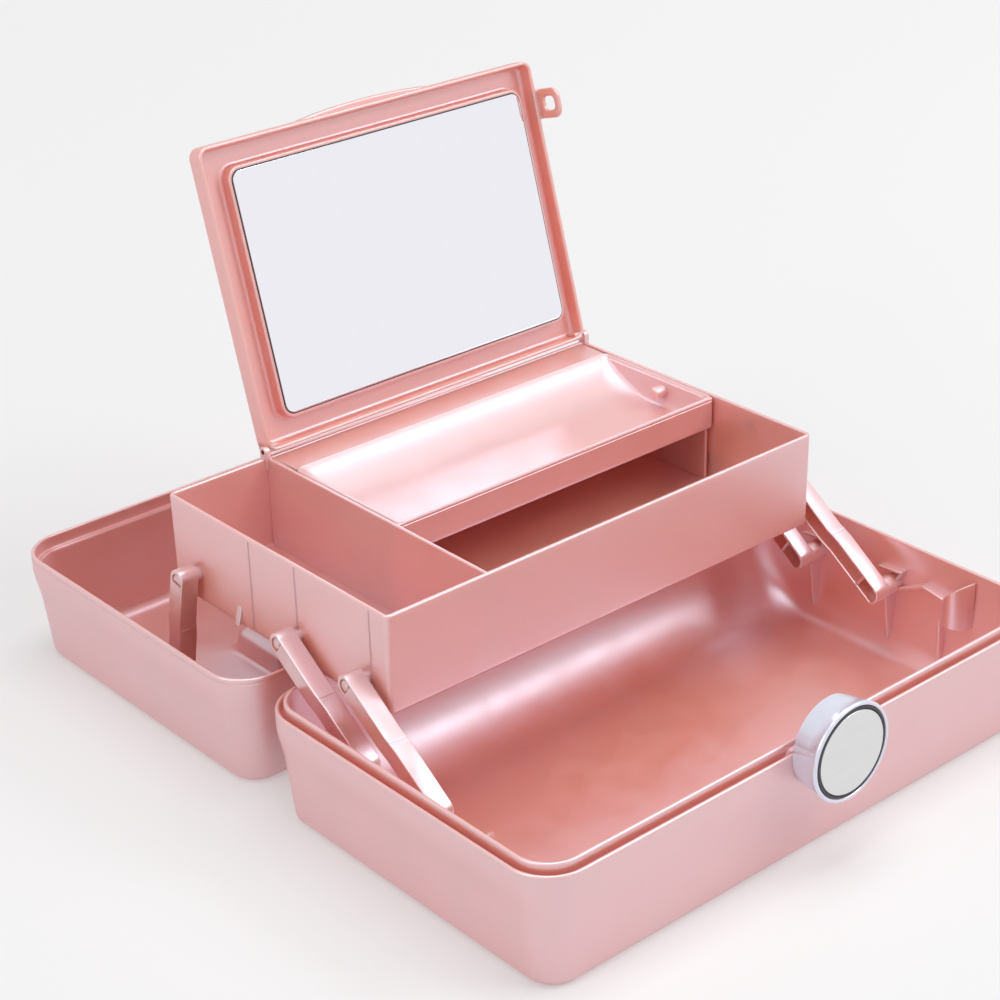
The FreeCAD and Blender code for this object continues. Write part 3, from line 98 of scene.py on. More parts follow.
# Handle and latch.
BAIL_OUT, BAIL_IN, BAIL_NEAR, BAIL_INSIDE, BAIL_FAR = 85.0, 74.0, 188.5, 213.0, 225.0
BAIL_LOW, BAIL_HIGH, BAIL_EDGE = 2.3, 11.3, 3.2
LATCH_Y, LATCH_Z, LATCH_STEPS, ROD_STEPS = -112.5, 59.0, 96, 32

# Stops along the sides of an outline, as shares of half its straight length. The long sides have
# more of them about the middle, where the latch's fill and the keeper's window begin and end.
STRAIGHT_X = WIDTH / 2 - CORNER
ARC_STEPS = 12
HALF_STOPS = [6, 12, 17, 20, 21.4, 22.6, 24, 26, 31, 40, 54, 72, 92, 112, 132]
LONG_STOPS = np.array([-stop for stop in reversed(HALF_STOPS)] + [0] + HALF_STOPS) / STRAIGHT_X
SHORT_STOPS = np.linspace(-0.85, 0.85, 9)
SIDES = np.array([(1, 0), (0, 1), (-1, 0), (0, -1)])

# How far a ring that keeps a flat face flat stands in from the rounded edge.
HOLD = 0.25

# ---- camera, light and floor
CAMERA_PLACE, CAMERA_TURN, CAMERA_RISE, CAMERA_ROLL = (-0.6733, -0.6702, 0.6152), -40.52, 26.53, -1.43
LENS, SENSOR = 85.02, 36.0

# Each lamp's place, aim and size in metres, and its power in watts.
LAMPS = {
    "overhead": ((0.0, 0.0, 2.4), (0.0, 0.0, 0.0), (1.8, 1.1), 21),
    "left": ((-2.6, 0.2, 1.5), (0.0, 0.1, 0.05), (1.4, 1.4), 15),
    "front_right": ((1.45, -1.4, 1.95), (0.0, 0.0, 0.06), (1.7, 1.1), 25),
}
WORLD_SEEN, WORLD_UNSEEN = (0.90, 0.90, 0.90), (0.42, 0.42, 0.43)
FLOOR_PAINT, FLOOR_SEEN, FLOOR_UNSEEN = (0.62, 0.62, 0.62), (0.28, 0.28, 0.28), (0.24, 0.24, 0.25)
FLOOR_HALF, FLOOR_DROP, GLOW_START, GLOW_END, GLOW_GAIN = 6.0, 0.0002, 0.4, 2.6, 1.9


def new_object(name, data):
    """An object for a mesh, a lamp or the camera, put into the scene."""
    thing = bpy.data.objects.new(name, data)
    bpy.context.scene.collection.objects.link(thing)
    return thing


def place_camera():
    """The camera stands in front of the left corner and looks down by about 27 degrees. Its back
    is (sin turn cos rise, -cos turn cos rise, sin rise), and its side and up are rolled about it."""
    turn, rise, roll = (math.radians(angle) for angle in (CAMERA_TURN, CAMERA_RISE, CAMERA_ROLL))
    back = Vector((math.sin(turn) * math.cos(rise), -math.cos(turn) * math.cos(rise), math.sin(rise)))
    level = Vector((0, 0, 1)).cross(back).normalized()
    upright = back.cross(level)
    side = level * math.cos(roll) + upright * math.sin(roll)
    up = upright * math.cos(roll) - level * math.sin(roll)
    data = bpy.data.cameras.new("camera")
    data.lens, data.sensor_width, data.sensor_fit = LENS, SENSOR, "HORIZONTAL"
    data.clip_start, data.clip_end = 0.05, 20.0
    camera = new_object("camera", data)
    facing = Matrix((side, up, back)).transposed().to_4x4()
    camera.matrix_world = Matrix.Translation(CAMERA_PLACE) @ facing
    bpy.context.scene.camera = camera


def hang_lamps():
    """One large soft lamp above, one on the left and a stronger one at the front right. Each looks
    from its place at its aim."""
    for name, (place, aim, size, power) in LAMPS.items():
        data = bpy.data.lights.new(name, "AREA")
        data.shape, data.size, data.size_y = "RECTANGLE", size[0], size[1]
        data.energy = power
        lamp = new_object(name, data)
        lamp.location = place
        lamp.rotation_euler = (Vector(aim) - Vector(place)).to_track_quat("-Z", "Y").to_euler()


def seen_and_unseen(tree, seen, unseen):
    """One colour for the camera and for clear reflections, and another for all other rays."""
    path = tree.nodes.new("ShaderNodeLightPath")
    either = tree.nodes.new("ShaderNodeMath")
    either.operation = "MAXIMUM"
    tree.links.new(path.outputs["Is Camera Ray"], either.inputs[0])
    tree.links.new(path.outputs["Is Glossy Ray"], either.inputs[1])
    return blend_colours(tree, either.outputs[0], unseen, seen)


def pale_world():
    """A pale world that lights the case less than it shows."""
    world = bpy.data.worlds.new("studio")
    bpy.context.scene.world = world
    world.use_nodes = True
    tree = world.node_tree
    colour = seen_and_unseen(tree, WORLD_SEEN, WORLD_UNSEEN)
    tree.links.new(colour, tree.nodes["Background"].inputs["Color"])


def pale_floor():
    """A pale floor just below the case, whose faint glow grows with the distance from it, so that
    the floor meets the background without an edge."""
    size = FLOOR_HALF
    mesh = bpy.data.meshes.new("floor")
    corners = [(-size, -size, 0), (size, -size, 0), (size, size, 0), (-size, size, 0)]
    mesh.from_pydata(corners, [], [(0, 1, 2, 3)])
    floor = new_object("floor", mesh)
    floor.location = (0, 0, -FLOOR_DROP)
    material, tree, shader, coords = new_finish("floor_paint")
    set_sockets(shader, {"Base Color": (*FLOOR_PAINT, 1), "Roughness": 0.9, "Specular IOR Level": 0.1})
    distance = tree.nodes.new("ShaderNodeVectorMath")
    distance.operation = "LENGTH"
    tree.links.new(coords, distance.inputs[0])
    glow = map_range(tree, distance.outputs["Value"], (GLOW_START, GLOW_END), (1.0, GLOW_GAIN))
    tree.links.new(glow, shader.inputs["Emission Strength"])
    tree.links.new(seen_and_unseen(tree, FLOOR_SEEN, FLOOR_UNSEEN), shader.inputs["Emission Color"])
    mesh.materials.append(material)


# ---- finishes
FINISH = {}
BODY, FLAKE = (0.92, 0.27, 0.14), (0.93, 0.52, 0.44)
LATCH_BODY, LATCH_FLAKE = (0.86, 0.74, 0.82), (0.95, 0.90, 0.96)
SILVER, STEEL = (0.80, 0.81, 0.81), (0.60, 0.60, 0.62)
# The first of these, near black, paints the shade in the narrow gap round the push disc; the second is the
# mounting tape's own dark, which also paints the shade in the gap round the mirror glass.
RING_GAP_SHADE, TAPE_AND_GAP_SHADE = (0.03, 0.03, 0.035), (0.05, 0.05, 0.055)
GLASS_DUSTY, GLASS_CLEAR = (0.92, 0.92, 0.98), (0.95, 0.95, 1.0)
CLOUD_SCALE, FLAKE_SCALE, HAZE_SCALE, GRAIN_SCALE = 28.0, 2600.0, 60.0, 900.0
PEARL = {
    "IOR": 2.9,
    "Specular Tint": (0.79, 0.85, 1.0, 1),
    "Subsurface Weight": 0.3,
    "Subsurface Radius": (1.0, 0.25, 0.12),
    "Subsurface Scale": 0.02,
    "Sheen Weight": 0.25,
    "Sheen Roughness": 0.45,
    "Sheen Tint": (0.90, 0.84, 1.0, 1),
    "Coat Roughness": 0.22,
}


def new_finish(name):
    """A material with its node tree, its shader, and the object's own coordinates."""
    material = bpy.data.materials.new(name)
    material.use_nodes = True
    tree = material.node_tree
    coords = tree.nodes.new("ShaderNodeTexCoord")
    return material, tree, tree.nodes["Principled BSDF"], coords.outputs["Object"]


def set_sockets(shader, values):
    """Put constant values on the sockets of a shader."""
    for socket, value in values.items():
        shader.inputs[socket].default_value = value


def noise(tree, coords, scale, detail=2.0):
    """Fractal noise between 0 and 1."""
    node = tree.nodes.new("ShaderNodeTexNoise")
    node.inputs["Scale"].default_value = scale
    node.inputs["Detail"].default_value = detail
    tree.links.new(coords, node.inputs["Vector"])
    return node.outputs["Fac"]


def map_range(tree, value, source, target):
    """Stretch the source range of a value over the target range."""
    node = tree.nodes.new("ShaderNodeMapRange")
    sockets = ("From Min", "From Max", "To Min", "To Max")
    for socket, number in zip(sockets, (*source, *target)):
        node.inputs[socket].default_value = number
    tree.links.new(value, node.inputs["Value"])
    return node.outputs["Result"]


def spread(tree, value, low, high):
    """Stretch the part of a noise where most of it lies, 0.3 to 0.7, over low to high."""
    return map_range(tree, value, (0.3, 0.7), (low, high))


def blend_colours(tree, factor, first, second):
    """Mix two colours, each of them constant or an output."""
    node = tree.nodes.new("ShaderNodeMix")
    node.data_type = "RGBA"
    tree.links.new(factor, node.inputs["Factor"])
    for socket, value in (("A", first), ("B", second)):
        if isinstance(value, tuple):
            node.inputs[socket].default_value = (*value, 1)
        else:
            tree.links.new(value, node.inputs[socket])
    return node.outputs["Result"]


def fine_bump(tree, shader, height, strength, distance):
    """A grain too fine to model, as a bump on the shader's normal."""
    node = tree.nodes.new("ShaderNodeBump")
    node.inputs["Strength"].default_value = strength
    node.inputs["Distance"].default_value = distance
    tree.links.new(height, node.inputs["Height"])
    tree.links.new(node.outputs["Normal"], shader.inputs["Normal"])


def pearl_plastic(name, body, flake, rough=0.36, coat=0.3, gloss=1.0):
    """Moulded plastic full of fine pearl flakes: a warm body colour under a cool broad gloss."""
    material, tree, shader, coords = new_finish(name)
    clouds = spread(tree, noise(tree, coords, CLOUD_SCALE, 3.0), 0.0, 0.10)
    flakes = spread(tree, noise(tree, coords, FLAKE_SCALE, 1.0), 0.0, 0.22)
    base = blend_colours(tree, clouds, body, flake)
    base = blend_colours(tree, flakes, base, flake)
    tree.links.new(base, shader.inputs["Base Color"])
    haze = spread(tree, noise(tree, coords, HAZE_SCALE), rough - 0.03, rough + 0.05)
    tree.links.new(haze, shader.inputs["Roughness"])
    set_sockets(shader, PEARL)
    set_sockets(shader, {"Specular IOR Level": gloss, "Coat Weight": coat})
    fine_bump(tree, shader, noise(tree, coords, GRAIN_SCALE), 0.08, 0.00004)
    return material


def patterned(name, scale, detail, colours, roughness, metallic=0.0):
    """A finish that follows one noise, which is scaled along each axis: its colour lies between the
    two colours, and its roughness between the two values."""
    material, tree, shader, coords = new_finish(name)
    mapping = tree.nodes.new("ShaderNodeMapping")
    mapping.inputs["Scale"].default_value = scale
    tree.links.new(coords, mapping.inputs["Vector"])
    pattern = noise(tree, mapping.outputs["Vector"], 1.0, detail)
    tree.links.new(blend_colours(tree, pattern, *colours), shader.inputs["Base Color"])
    tree.links.new(spread(tree, pattern, *roughness), shader.inputs["Roughness"])
    shader.inputs["Metallic"].default_value = metallic
    return material


def satin_metal(name, colour, rough):
    """Brushed bright metal, with level streaks that are fine along Z and drawn out along X and Y."""
    dark = tuple(0.86 * channel for channel in colour)
    return patterned(name, (40, 40, 2400), 3.0, (dark, colour), (rough - 0.06, rough + 0.06), 1.0)


def dark_tape_and_gap_shade(name, colour, rough):
    """A plain dark finish, faintly patchy: the mounting tape's own dark, and the near black that paints
    the shade in narrow gaps.
    """
    light = tuple(1.5 * channel for channel in colour)
    return patterned(name, (400, 400, 400), 3.0, (colour, light), (rough - 0.05, rough + 0.08))


def silvered_glass(name):
    """Mirror glass: bright metal seen through a faintly cool pane, with a hint of dust."""
    return patterned(name, (120, 120, 120), 4.0, (GLASS_DUSTY, GLASS_CLEAR), (0.015, 0.03), 1.0)


def make_finishes():
    """Every finish of the case, by a short name that its pieces and nodes ask for."""
    FINISH["shell"] = pearl_plastic("pearl_shell", BODY, FLAKE)
    FINISH["tray"] = pearl_plastic("pearl_tray", BODY, FLAKE, 0.43, 0.25)
    FINISH["frame"] = pearl_plastic("pearl_lid", BODY, FLAKE, 0.38, 0.2, 0.75)
    FINISH["arm"] = pearl_plastic("pearl_arm", BODY, FLAKE, 0.3, 0.5)
    FINISH["latch"] = pearl_plastic("pearl_latch", LATCH_BODY, LATCH_FLAKE, 0.2, 0.9)
    FINISH["silver"] = satin_metal("silver_face", SILVER, 0.36)
    FINISH["steel"] = satin_metal("pin_steel", STEEL, 0.3)
    # Near black, to paint the shade in the narrow gap round the push disc.
    FINISH["dark"] = dark_tape_and_gap_shade("painted_ring_gap_shade", RING_GAP_SHADE, 0.3)
    # The mounting tape's own dark. The band in the gap round the mirror glass also uses it, to paint the
    # shade in that gap.
    FINISH["tape"] = dark_tape_and_gap_shade("mounting_tape_and_gap_shade", TAPE_AND_GAP_SHADE, 0.7)
    FINISH["glass"] = silvered_glass("silvered_glass")


def dress_nodes():
    """Give every node that stays shown the finish of the first word its name holds."""
    by_word = (
        ("mirror_glass", "glass"), ("mirror_adhesive", "tape"), ("pivot", "arm"), ("_pin", "steel"),
        ("springs", "steel"), ("button_plate", "silver"), ("button_ring", "dark"),
        ("latch_housing", "latch"), ("arm", "arm"), ("latch", "arm"), ("tray", "tray"),
        ("shelf", "tray"), ("mirror_lid", "tray"),
    )
    for name, node in NODES.items():
        finish = next((kind for word, kind in by_word if word in name), "shell")
        node.data.materials.clear()
        node.data.materials.append(FINISH[finish])


# ---- surfaces
def smooth_step(part):
    """A value from 0 to 1 eased at both ends: part squared times (3 less twice the part)."""
    return part * part * (3 - 2 * part)


def outline(width, depth, corner, middle=(0.0, 0.0), z=0.0):
    """Points counter-clockwise round a rectangle with round corners: each corner is a quarter
    circle, centre plus corner times (cos, sin), and the side after it runs along the next side's
    outward direction through its stops."""
    half = np.array([width / 2 - corner, depth / 2 - corner])
    quarter = np.linspace(0, np.pi / 2, ARC_STEPS + 1)
    rows = []
    for turn, stops in enumerate((SHORT_STOPS, LONG_STOPS, SHORT_STOPS, LONG_STOPS)):
        out, along = SIDES[turn], SIDES[(turn + 1) % 4]
        angle = quarter + (turn - 1) * np.pi / 2
        rows.append(half * (out - along) + corner * np.column_stack([np.cos(angle), np.sin(angle)]))
        rows.append(out * (half + corner) + stops[:, None] * along * half)
    flat = np.concatenate(rows) + np.array(middle)
    return np.column_stack([flat, np.full(len(flat), z)])


def arc(centre, radius, start, end, steps):
    """Profile rows on a circle, from one angle to another in degrees."""
    angle = np.radians(np.linspace(start, end, steps + 1))
    return [(centre[0] + radius * np.cos(a), centre[1] + radius * np.sin(a)) for a in angle]


def rim_round(outside, thick, top):
    """Profile rows over a wall's half-round rim, from its outer side to its inner side."""
    half = thick / 2
    return arc((outside + half, top - half), half, 180, 0, 8)


def mesh_piece(name, points, faces, finish, body, slot):
    """One finished piece from points in millimetres: smooth, sharp where it turns hard, with its
    faces outwards, riding its body."""
    mesh = bpy.data.meshes.new(name)
    mesh.from_pydata((np.asarray(points) * MM).tolist(), [], faces)
    mesh.validate()
    build = bmesh.new()
    build.from_mesh(mesh)
    bmesh.ops.recalc_face_normals(build, faces=build.faces)
    build.to_mesh(mesh)
    build.free()
    mesh.polygons.foreach_set("use_smooth", np.full(len(mesh.polygons), True))
    mesh.set_sharp_from_angle(angle=SHARP_ANGLE)
    mesh.materials.append(FINISH[finish])
    piece = new_object(name, mesh)
    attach(piece, body)
    return piece


def grid_faces(rings, count, closed_rings=False, closed_rows=True, start=0):
    """Quads between neighbouring rings of count points each, as whole arrays of indices."""
    ring = np.arange(rings if closed_rings else rings - 1)[:, None]
    step = np.arange(count if closed_rows else count - 1)
    after = (step + 1) % count
    near, far = start + ring * count, start + (ring + 1) % rings * count
    return np.stack([near + step, near + after, far + after, far + step], -1).reshape(-1, 4).tolist()


def skin(rings, caps=True, closed_rings=False):
    """Points and faces of a surface carried through a list of rings, with flat ends."""
    count = len(rings[0])
    faces = grid_faces(len(rings), count, closed_rings)
    if caps:
        last = (len(rings) - 1) * count
        faces.append(tuple(range(count))[::-1])
        faces.append(tuple(range(last, last + count)))
    return np.concatenate(rings), faces


# ---- the two tubs
def shell_ring(inset, z, stepped=0.0, middle_y=0.0):
    """The case outline moved in by inset, and by the collar's step where stepped is 1."""
    side, front = inset + stepped * SIDE_STEP, inset + stepped * FRONT_STEP
    return outline(WIDTH - 2 * side, DEPTH - 2 * front, max(CORNER - side, 2.0), (0.0, middle_y), z)


def outer_profile():
    """Inset, height and step of the outside, from the flat underside up to the collar: the wall
    leans out along a soft bend, lean times width times log(1 + exp(height below / width))."""
    top = 0.9 * EDGE_ROUND
    centre = ((COLLAR_Z - top) * OUT_LEAN + EDGE_ROUND * math.cos(OUT_ANGLE), EDGE_ROUND)
    profile = [(centre[0] + 1.0, 0.0, 1.0)]
    profile += [(x, z, 1.0) for x, z in arc(centre, EDGE_ROUND, 270, 186, 8)]
    heights = np.concatenate([np.linspace(8, 30, 5), np.linspace(STEP_LOW, STEP_HIGH, 15)])
    step = 1 - smooth_step(np.clip((heights - STEP_LOW) / (STEP_HIGH - STEP_LOW), 0, 1))
    lean = OUT_LEAN * BEND * np.log1p(np.exp((COLLAR_Z - heights) / BEND))
    return profile + list(zip(lean, heights, step))


def cove(z, radius):
    """How far the round floor edge stands in from the wall at a height: the radius less the root
    of (radius squared less the depth below the round's top squared)."""
    below = max(radius - (z - FLOOR_Z), 0.0)
    return radius - math.sqrt(max(radius * radius - below * below, 0.0))


def floor_rings(wall):
    """Rings from the wall down to the flat floor: the round is wide along the long walls and
    narrow along the end walls."""
    rings = []
    for turn in np.linspace(0, math.pi / 2, 17):
        z = FLOOR_Z + ROUND_LONG * (1 - math.sin(turn))
        inset = wall + (TONGUE_Z - z) * BASE_LEAN
        end, side = inset + cove(z, ROUND_END), inset + cove(z, ROUND_LONG)
        corner = max(CORNER - inset - 0.3 * cove(z, ROUND_END), 8.0)
        rings.append(outline(WIDTH - 2 * end, DEPTH - 2 * side, corner, z=z))
    return rings


def fill_at_latch(groove):
    """Lift the groove's rings at the front to a level fill behind the latch, eased at its ends."""
    for step, ring in enumerate(groove):
        front = ring[:, 1] < 0
        fill = smooth_step(np.clip((FILL_HALF - np.abs(ring[:, 0])) / FILL_FADE, 0, 1))
        level = RIM_Z - FILL_DROP + FILL_RISE * step
        ring[front, 2] += (fill * np.maximum(level - ring[:, 2], 0))[front]
    return groove


def base_shell_piece():
    """The base tub in one run from its underside: outside, lip, groove, tongue, drafted wall and
    the round down to its floor."""
    outer, inner = LIP + 0.05, LIP + GROOVE - 0.05
    wall = LIP + GROOVE + TONGUE
    lip = [(0.0, GROOVE_Z + 2), (0.0, RIM_Z - 1)] + rim_round(0.0, LIP, RIM_Z)
    groove = [(outer, 58.0), (outer, 56.0), (LIP + GROOVE / 2, GROOVE_Z)]
    groove += [(inner, 56.0), (inner, 58.0), (inner, RIM_Z + 0.5)]
    tongue = rim_round(LIP + GROOVE, TONGUE, TONGUE_Z)
    tongue += [(wall + (TONGUE_Z - z) * BASE_LEAN, z) for z in (58, 50, 42)]
    rings = [shell_ring(*row) for row in outer_profile() + lip]
    rings += fill_at_latch([shell_ring(*row) for row in groove])
    rings += [shell_ring(*row) for row in tongue] + floor_rings(wall)
    return mesh_piece("base_tub", *skin(rings), "shell", "base", "pearl_shell")


def well_ring(grow, corner, z):
    """The handle well's mouth grown all round."""
    return outline(WELL_W + 2 * grow, WELL_D + 2 * grow, corner, (0.0, WELL_Y), z)


def drafted_ring(grow, corner, z):
    """The handle well at a height: its mouth less the draft, grown all round."""
    return well_ring(grow - z * WELL_DRAFT, corner, z)


def well_outside():
    """Rings from the well's floor down its sides and out over its mouth, on the lid's outside."""
    rings = [well_ring(-4.0, 3.0, WELL_SINK)]
    floor_round = ((1.2, 0.0), (0.35, 0.35), (0.0, 1.2))
    rings += [drafted_ring(-cut, 5.0, WELL_SINK - drop) for cut, drop in floor_round]
    rings += [drafted_ring(0.0, 5.6, z) for z in (8.0, 4.0, 1.0)]
    return rings + [well_ring(0.2, 6.0, 0.3), well_ring(0.8, 6.6, 0.0), well_ring(1.6, 7.4, 0.0)]


def well_inside():
    """Rings from the lid's inner floor up over the well: small rounds at its foot and top."""
    feet = ((3.2, 0.0), (1.0, 0.3), (0.2, 1.2))
    rings = [drafted_ring(WELL_WALL + grow, 8.0, FLOOR_Z + rise) for grow, rise in feet]
    for turn in np.radians(np.linspace(0, 90, 8)):
        z = WELL_SINK + WELL_WALL - WELL_TOP_ROUND * (1 - np.sin(turn))
        grow = WELL_WALL - WELL_TOP_ROUND * (1 - np.cos(turn))
        rings.append(drafted_ring(grow, 8.0 - 2.5 * np.sin(turn), z))
    return rings


def cut_window(points, faces, count, outside, inside):
    """Open the keeper's window in the far wall: leave out the quads of both walls between its
    sides, and join the outer and inner rings all round the hole."""
    low_out, high_out = outside
    high_in, low_in = inside
    edge = points[low_out * count:(low_out + 1) * count]
    far = np.abs(edge[:, 1] - (LID_Y + DEPTH / 2)) < 1e-6
    stops = np.flatnonzero(far & (np.abs(edge[:, 0]) < WINDOW_X + 0.01)).tolist()
    stops.sort(key=lambda stop: edge[stop, 0])
    open_rings = {(low_out, high_out)} | {(ring, ring + 1) for ring in range(high_in, low_in)}

    def in_window(face):
        """Whether a quad lies between the window's sides on one of the two walls."""
        rings = (min(face) // count, max(face) // count)
        return len(face) == 4 and rings in open_rings and {corner % count for corner in face} <= set(stops)

    kept = [face for face in faces if not in_window(face)]
    for near, after in zip(stops, stops[1:]):
        for outer, inner in ((low_out * count, low_in * count), (high_out * count, high_in * count)):
            kept.append([outer + near, outer + after, inner + after, inner + near])
    for side in (stops[0], stops[-1]):
        kept.append([ring * count + side for ring in (low_out, high_out, *range(high_in, low_in + 1))])
    return kept


def lid_shell_piece():
    """The lid tub in one run: the handle well, the outside with a fine line below its rim, the
    rim, the ledge, the drafted wall, the floor and the well's inside."""
    wall = LID_RIM + LEDGE
    foot = wall + (LEDGE_Z - FLOOR_Z - LID_ROUND) * LID_LEAN
    below = [row for row in outer_profile() if row[1] < WINDOW_LOW]
    window = [(0.0, WINDOW_LOW), (0.0, WINDOW_HIGH)]
    rim = [(0.0, 57.0), (0.3, 57.2), (0.3, 57.5), (0.0, 57.7), (0.0, RIM_Z - 1.2)]
    rim += rim_round(0.0, LID_RIM, RIM_Z)
    ledge = [(LID_RIM, WINDOW_HIGH), (LID_RIM, LEDGE_Z + 0.4), (LID_RIM + 0.4, LEDGE_Z)]
    ledge += [(wall - 0.5, LEDGE_Z), (wall, LEDGE_Z - 0.5)]
    ledge += [(wall + (LEDGE_Z - WINDOW_LOW) * LID_LEAN, WINDOW_LOW)]
    inner = [(wall + (LEDGE_Z - z) * LID_LEAN, z) for z in (44, 36, 28, 20, 14)]
    inner += arc((foot + LID_ROUND, FLOOR_Z + LID_ROUND), LID_ROUND, 180, 270, 8)
    rings = well_outside()
    low_out = len(rings) + len(below)
    high_in = low_out + len(window) + len(rim)
    rings += [shell_ring(*row, middle_y=LID_Y) for row in below + window + rim + ledge + inner]
    points, faces = skin(rings + well_inside())
    outside, inside = (low_out, low_out + 1), (high_in, high_in + len(ledge) - 1)
    faces = cut_window(points, faces, len(rings[0]), outside, inside)
    return mesh_piece("lid_tub", points, faces, "shell", "lid", "pearl_shell")


# ---- small shapes
def lay(loop, place, axis):
    """Put a flat outline at a place along an axis."""
    fill = np.full(len(loop), float(place))
    order = {
        "x": (fill, loop[:, 0], loop[:, 1]),
        "y": (loop[:, 0], fill, loop[:, 1]),
        "z": (loop[:, 0], loop[:, 1], fill),
    }
    return np.column_stack(order[axis])


def round_corners(points, radii, steps=5):
    """A closed outline with arcs for corners: each arc turns from one touching point to the
    other about a centre on the corner's bisector, radius / sin(half angle) from the corner."""
    points = np.asarray(points, float)
    radii = np.broadcast_to(radii, len(points))
    part = np.linspace(0, 1, steps + 1)[:, None]
    rows = []
    for here, before, after, radius in zip(points, np.roll(points, 1, 0), np.roll(points, -1, 0), radii):
        if radius == 0:
            rows.append(here[None])
            continue
        back = (before - here) / np.linalg.norm(before - here)
        on = (after - here) / np.linalg.norm(after - here)
        half = np.arccos(np.clip(back @ on, -1, 1)) / 2
        centre = here + (back + on) / np.linalg.norm(back + on) * radius / np.sin(half)
        first = here + back * radius / np.tan(half) - centre
        last = here + on * radius / np.tan(half) - centre
        sweep = np.pi - 2 * half
        turned_part = np.sin((1 - part) * sweep) * first + np.sin(part * sweep) * last
        rows.append(centre + turned_part / np.sin(sweep))
    return np.concatenate(rows)


def block(u0, u1, v0, v1, radius=0.0, steps=5):
    """A rectangle with round corners."""
    return round_corners([(u0, v0), (u1, v0), (u1, v1), (u0, v1)], radius, steps)


def strip_loop(start, lean, length, thickness):
    """A thin rectangle that runs from a point at a lean in degrees."""
    along = np.array([math.cos(math.radians(lean)), math.sin(math.radians(lean))])
    rise = thickness * np.array([-along[1], along[0]])
    start = np.array(start)
    far = start + along * length
    return round_corners([start, far, far + rise, start + rise], 0.45 * thickness, 4)


def inset(loop, distance):
    """Move every side of a counter-clockwise outline inwards by one distance: each point goes
    along the sum of its two side normals, times 2 / (length of that sum) squared."""
    ahead = np.roll(loop, -1, 0) - loop
    ahead /= np.maximum(np.linalg.norm(ahead, axis=1, keepdims=True), 1e-9)
    normal = np.column_stack([-ahead[:, 1], ahead[:, 0]])
    both = normal + np.roll(normal, 1, 0)
    return loop + distance * 2 * both / np.maximum((both**2).sum(1, keepdims=True), 0.2)


def edge_rows(low, high, edge, steps=4):
    """(inset, place) rows across a plate, with a quarter circle of radius edge at each face."""
    angle = np.linspace(0, np.pi / 2, steps + 1)
    rows = [(edge + HOLD, 0.0)] + list(zip(edge * (1 - np.sin(angle)), edge * (1 - np.cos(angle))))
    near = [(d, low + rise) for d, rise in rows]
    return near + [(d, high - rise) for d, rise in reversed(rows)]


def slab(loop, low, high, edge, axis="x"):
    """A plate from a flat outline, with rounded edges at both faces."""
    return skin([lay(inset(loop, d), place, axis) for d, place in edge_rows(low, high, edge)])


def pierced_slab(outer, inner, low, high, edge):
    """A plate with a hole: the rounded section is carried out, across, in and back."""
    rows = edge_rows(low, high, edge)[1:-1]
    rings = [lay(inset(outer, d), place, "x") for d, place in rows]
    rings += [lay(inset(inner, -d), place, "x") for d, place in reversed(rows)]
    return skin(rings, caps=False, closed_rings=True)


def turned_rings(profile, centre, axis, steps):
    """Circles about a line along an axis, one for each (radius, place) row."""
    angle = np.linspace(0, 2 * np.pi, steps, endpoint=False)
    circle = np.column_stack([np.cos(angle), np.sin(angle)])
    return [lay(np.array(centre) + radius * circle, place, axis) for radius, place in profile]


def rod(centre, radius, low, high, edge):
    """A round bar along X with rounded ends."""
    rows = [(radius - d, place) for d, place in edge_rows(low, high, edge)]
    return skin(turned_rings(rows, centre, "x", ROD_STEPS))


def gather(parts):
    """Several closed surfaces as one list of points and one of faces."""
    points, faces, start = [], [], 0
    for part_points, part_faces in parts:
        points.append(part_points)
        faces += [tuple(corner + start for corner in face) for face in part_faces]
        start += len(part_points)
    return np.concatenate(points), faces


def swung(points, axis, lean):
    """Points drawn along Y, turned by a lean about an axis along X: y = axis y + along cos - up sin,
    z = axis z + along sin + up cos."""
    along, up = points[:, 1], points[:, 2]
    cos, sin = math.cos(lean), math.sin(lean)
    y, z = axis[0] + along * cos - up * sin, axis[1] + along * sin + up * cos
    return np.column_stack([points[:, 0], y, z])


def span(side, near, far):
    """The two places along X of something that reaches outwards on one side."""
    return (near, far) if side > 0 else (-far, -near)


def mirrored(side, loop):
    """An outline given for the right side, turned over for the left one."""
    loop = np.array(loop) * (side, 1)
    return loop if side > 0 else loop[::-1]


# ---- fittings on the end walls
def wall_boss(side, centre, rib_top, rib_tall):
    """A round boss on an end wall, and the thin rib that fades into the wall below it."""
    boss = rod(centre, BOSS_R, *span(side, ARM_FACES[1] + ARM_GAP, END_WALL), edge=0.6)
    return [boss, wall_rib(side, centre[0], rib_top, rib_tall)]


def wall_rib(side, y, top, tall, reach=149.6):
    """A thin upright rib, deep at its top and fading into the drafted wall below."""
    low = top - tall
    loop = mirrored(side, [(reach, top), (154.0, low), (158.0, low), (END_WALL - 0.3, top)])
    return slab(loop, y - 1, y + 1, 0.45, "y")


def barrel(first, last, on_lid=False):
    """A hinge knuckle: a round barrel on the hinge line with the web that carries it."""
    web = HINGE_Y - 8.9
    angle = np.radians(np.linspace(-90, 180, 28))
    head = np.array([HINGE_Y, RIM_Z]) + BARREL_R * np.column_stack([np.cos(angle), np.sin(angle)])
    loop = np.concatenate([[(web, RIM_Z - BARREL_R)], head, [(web, RIM_Z - 0.2)]])
    if on_lid:
        loop = (loop * (-1, 1) + (2 * HINGE_Y, 0))[::-1]
    return slab(loop, first, last, 0.5)


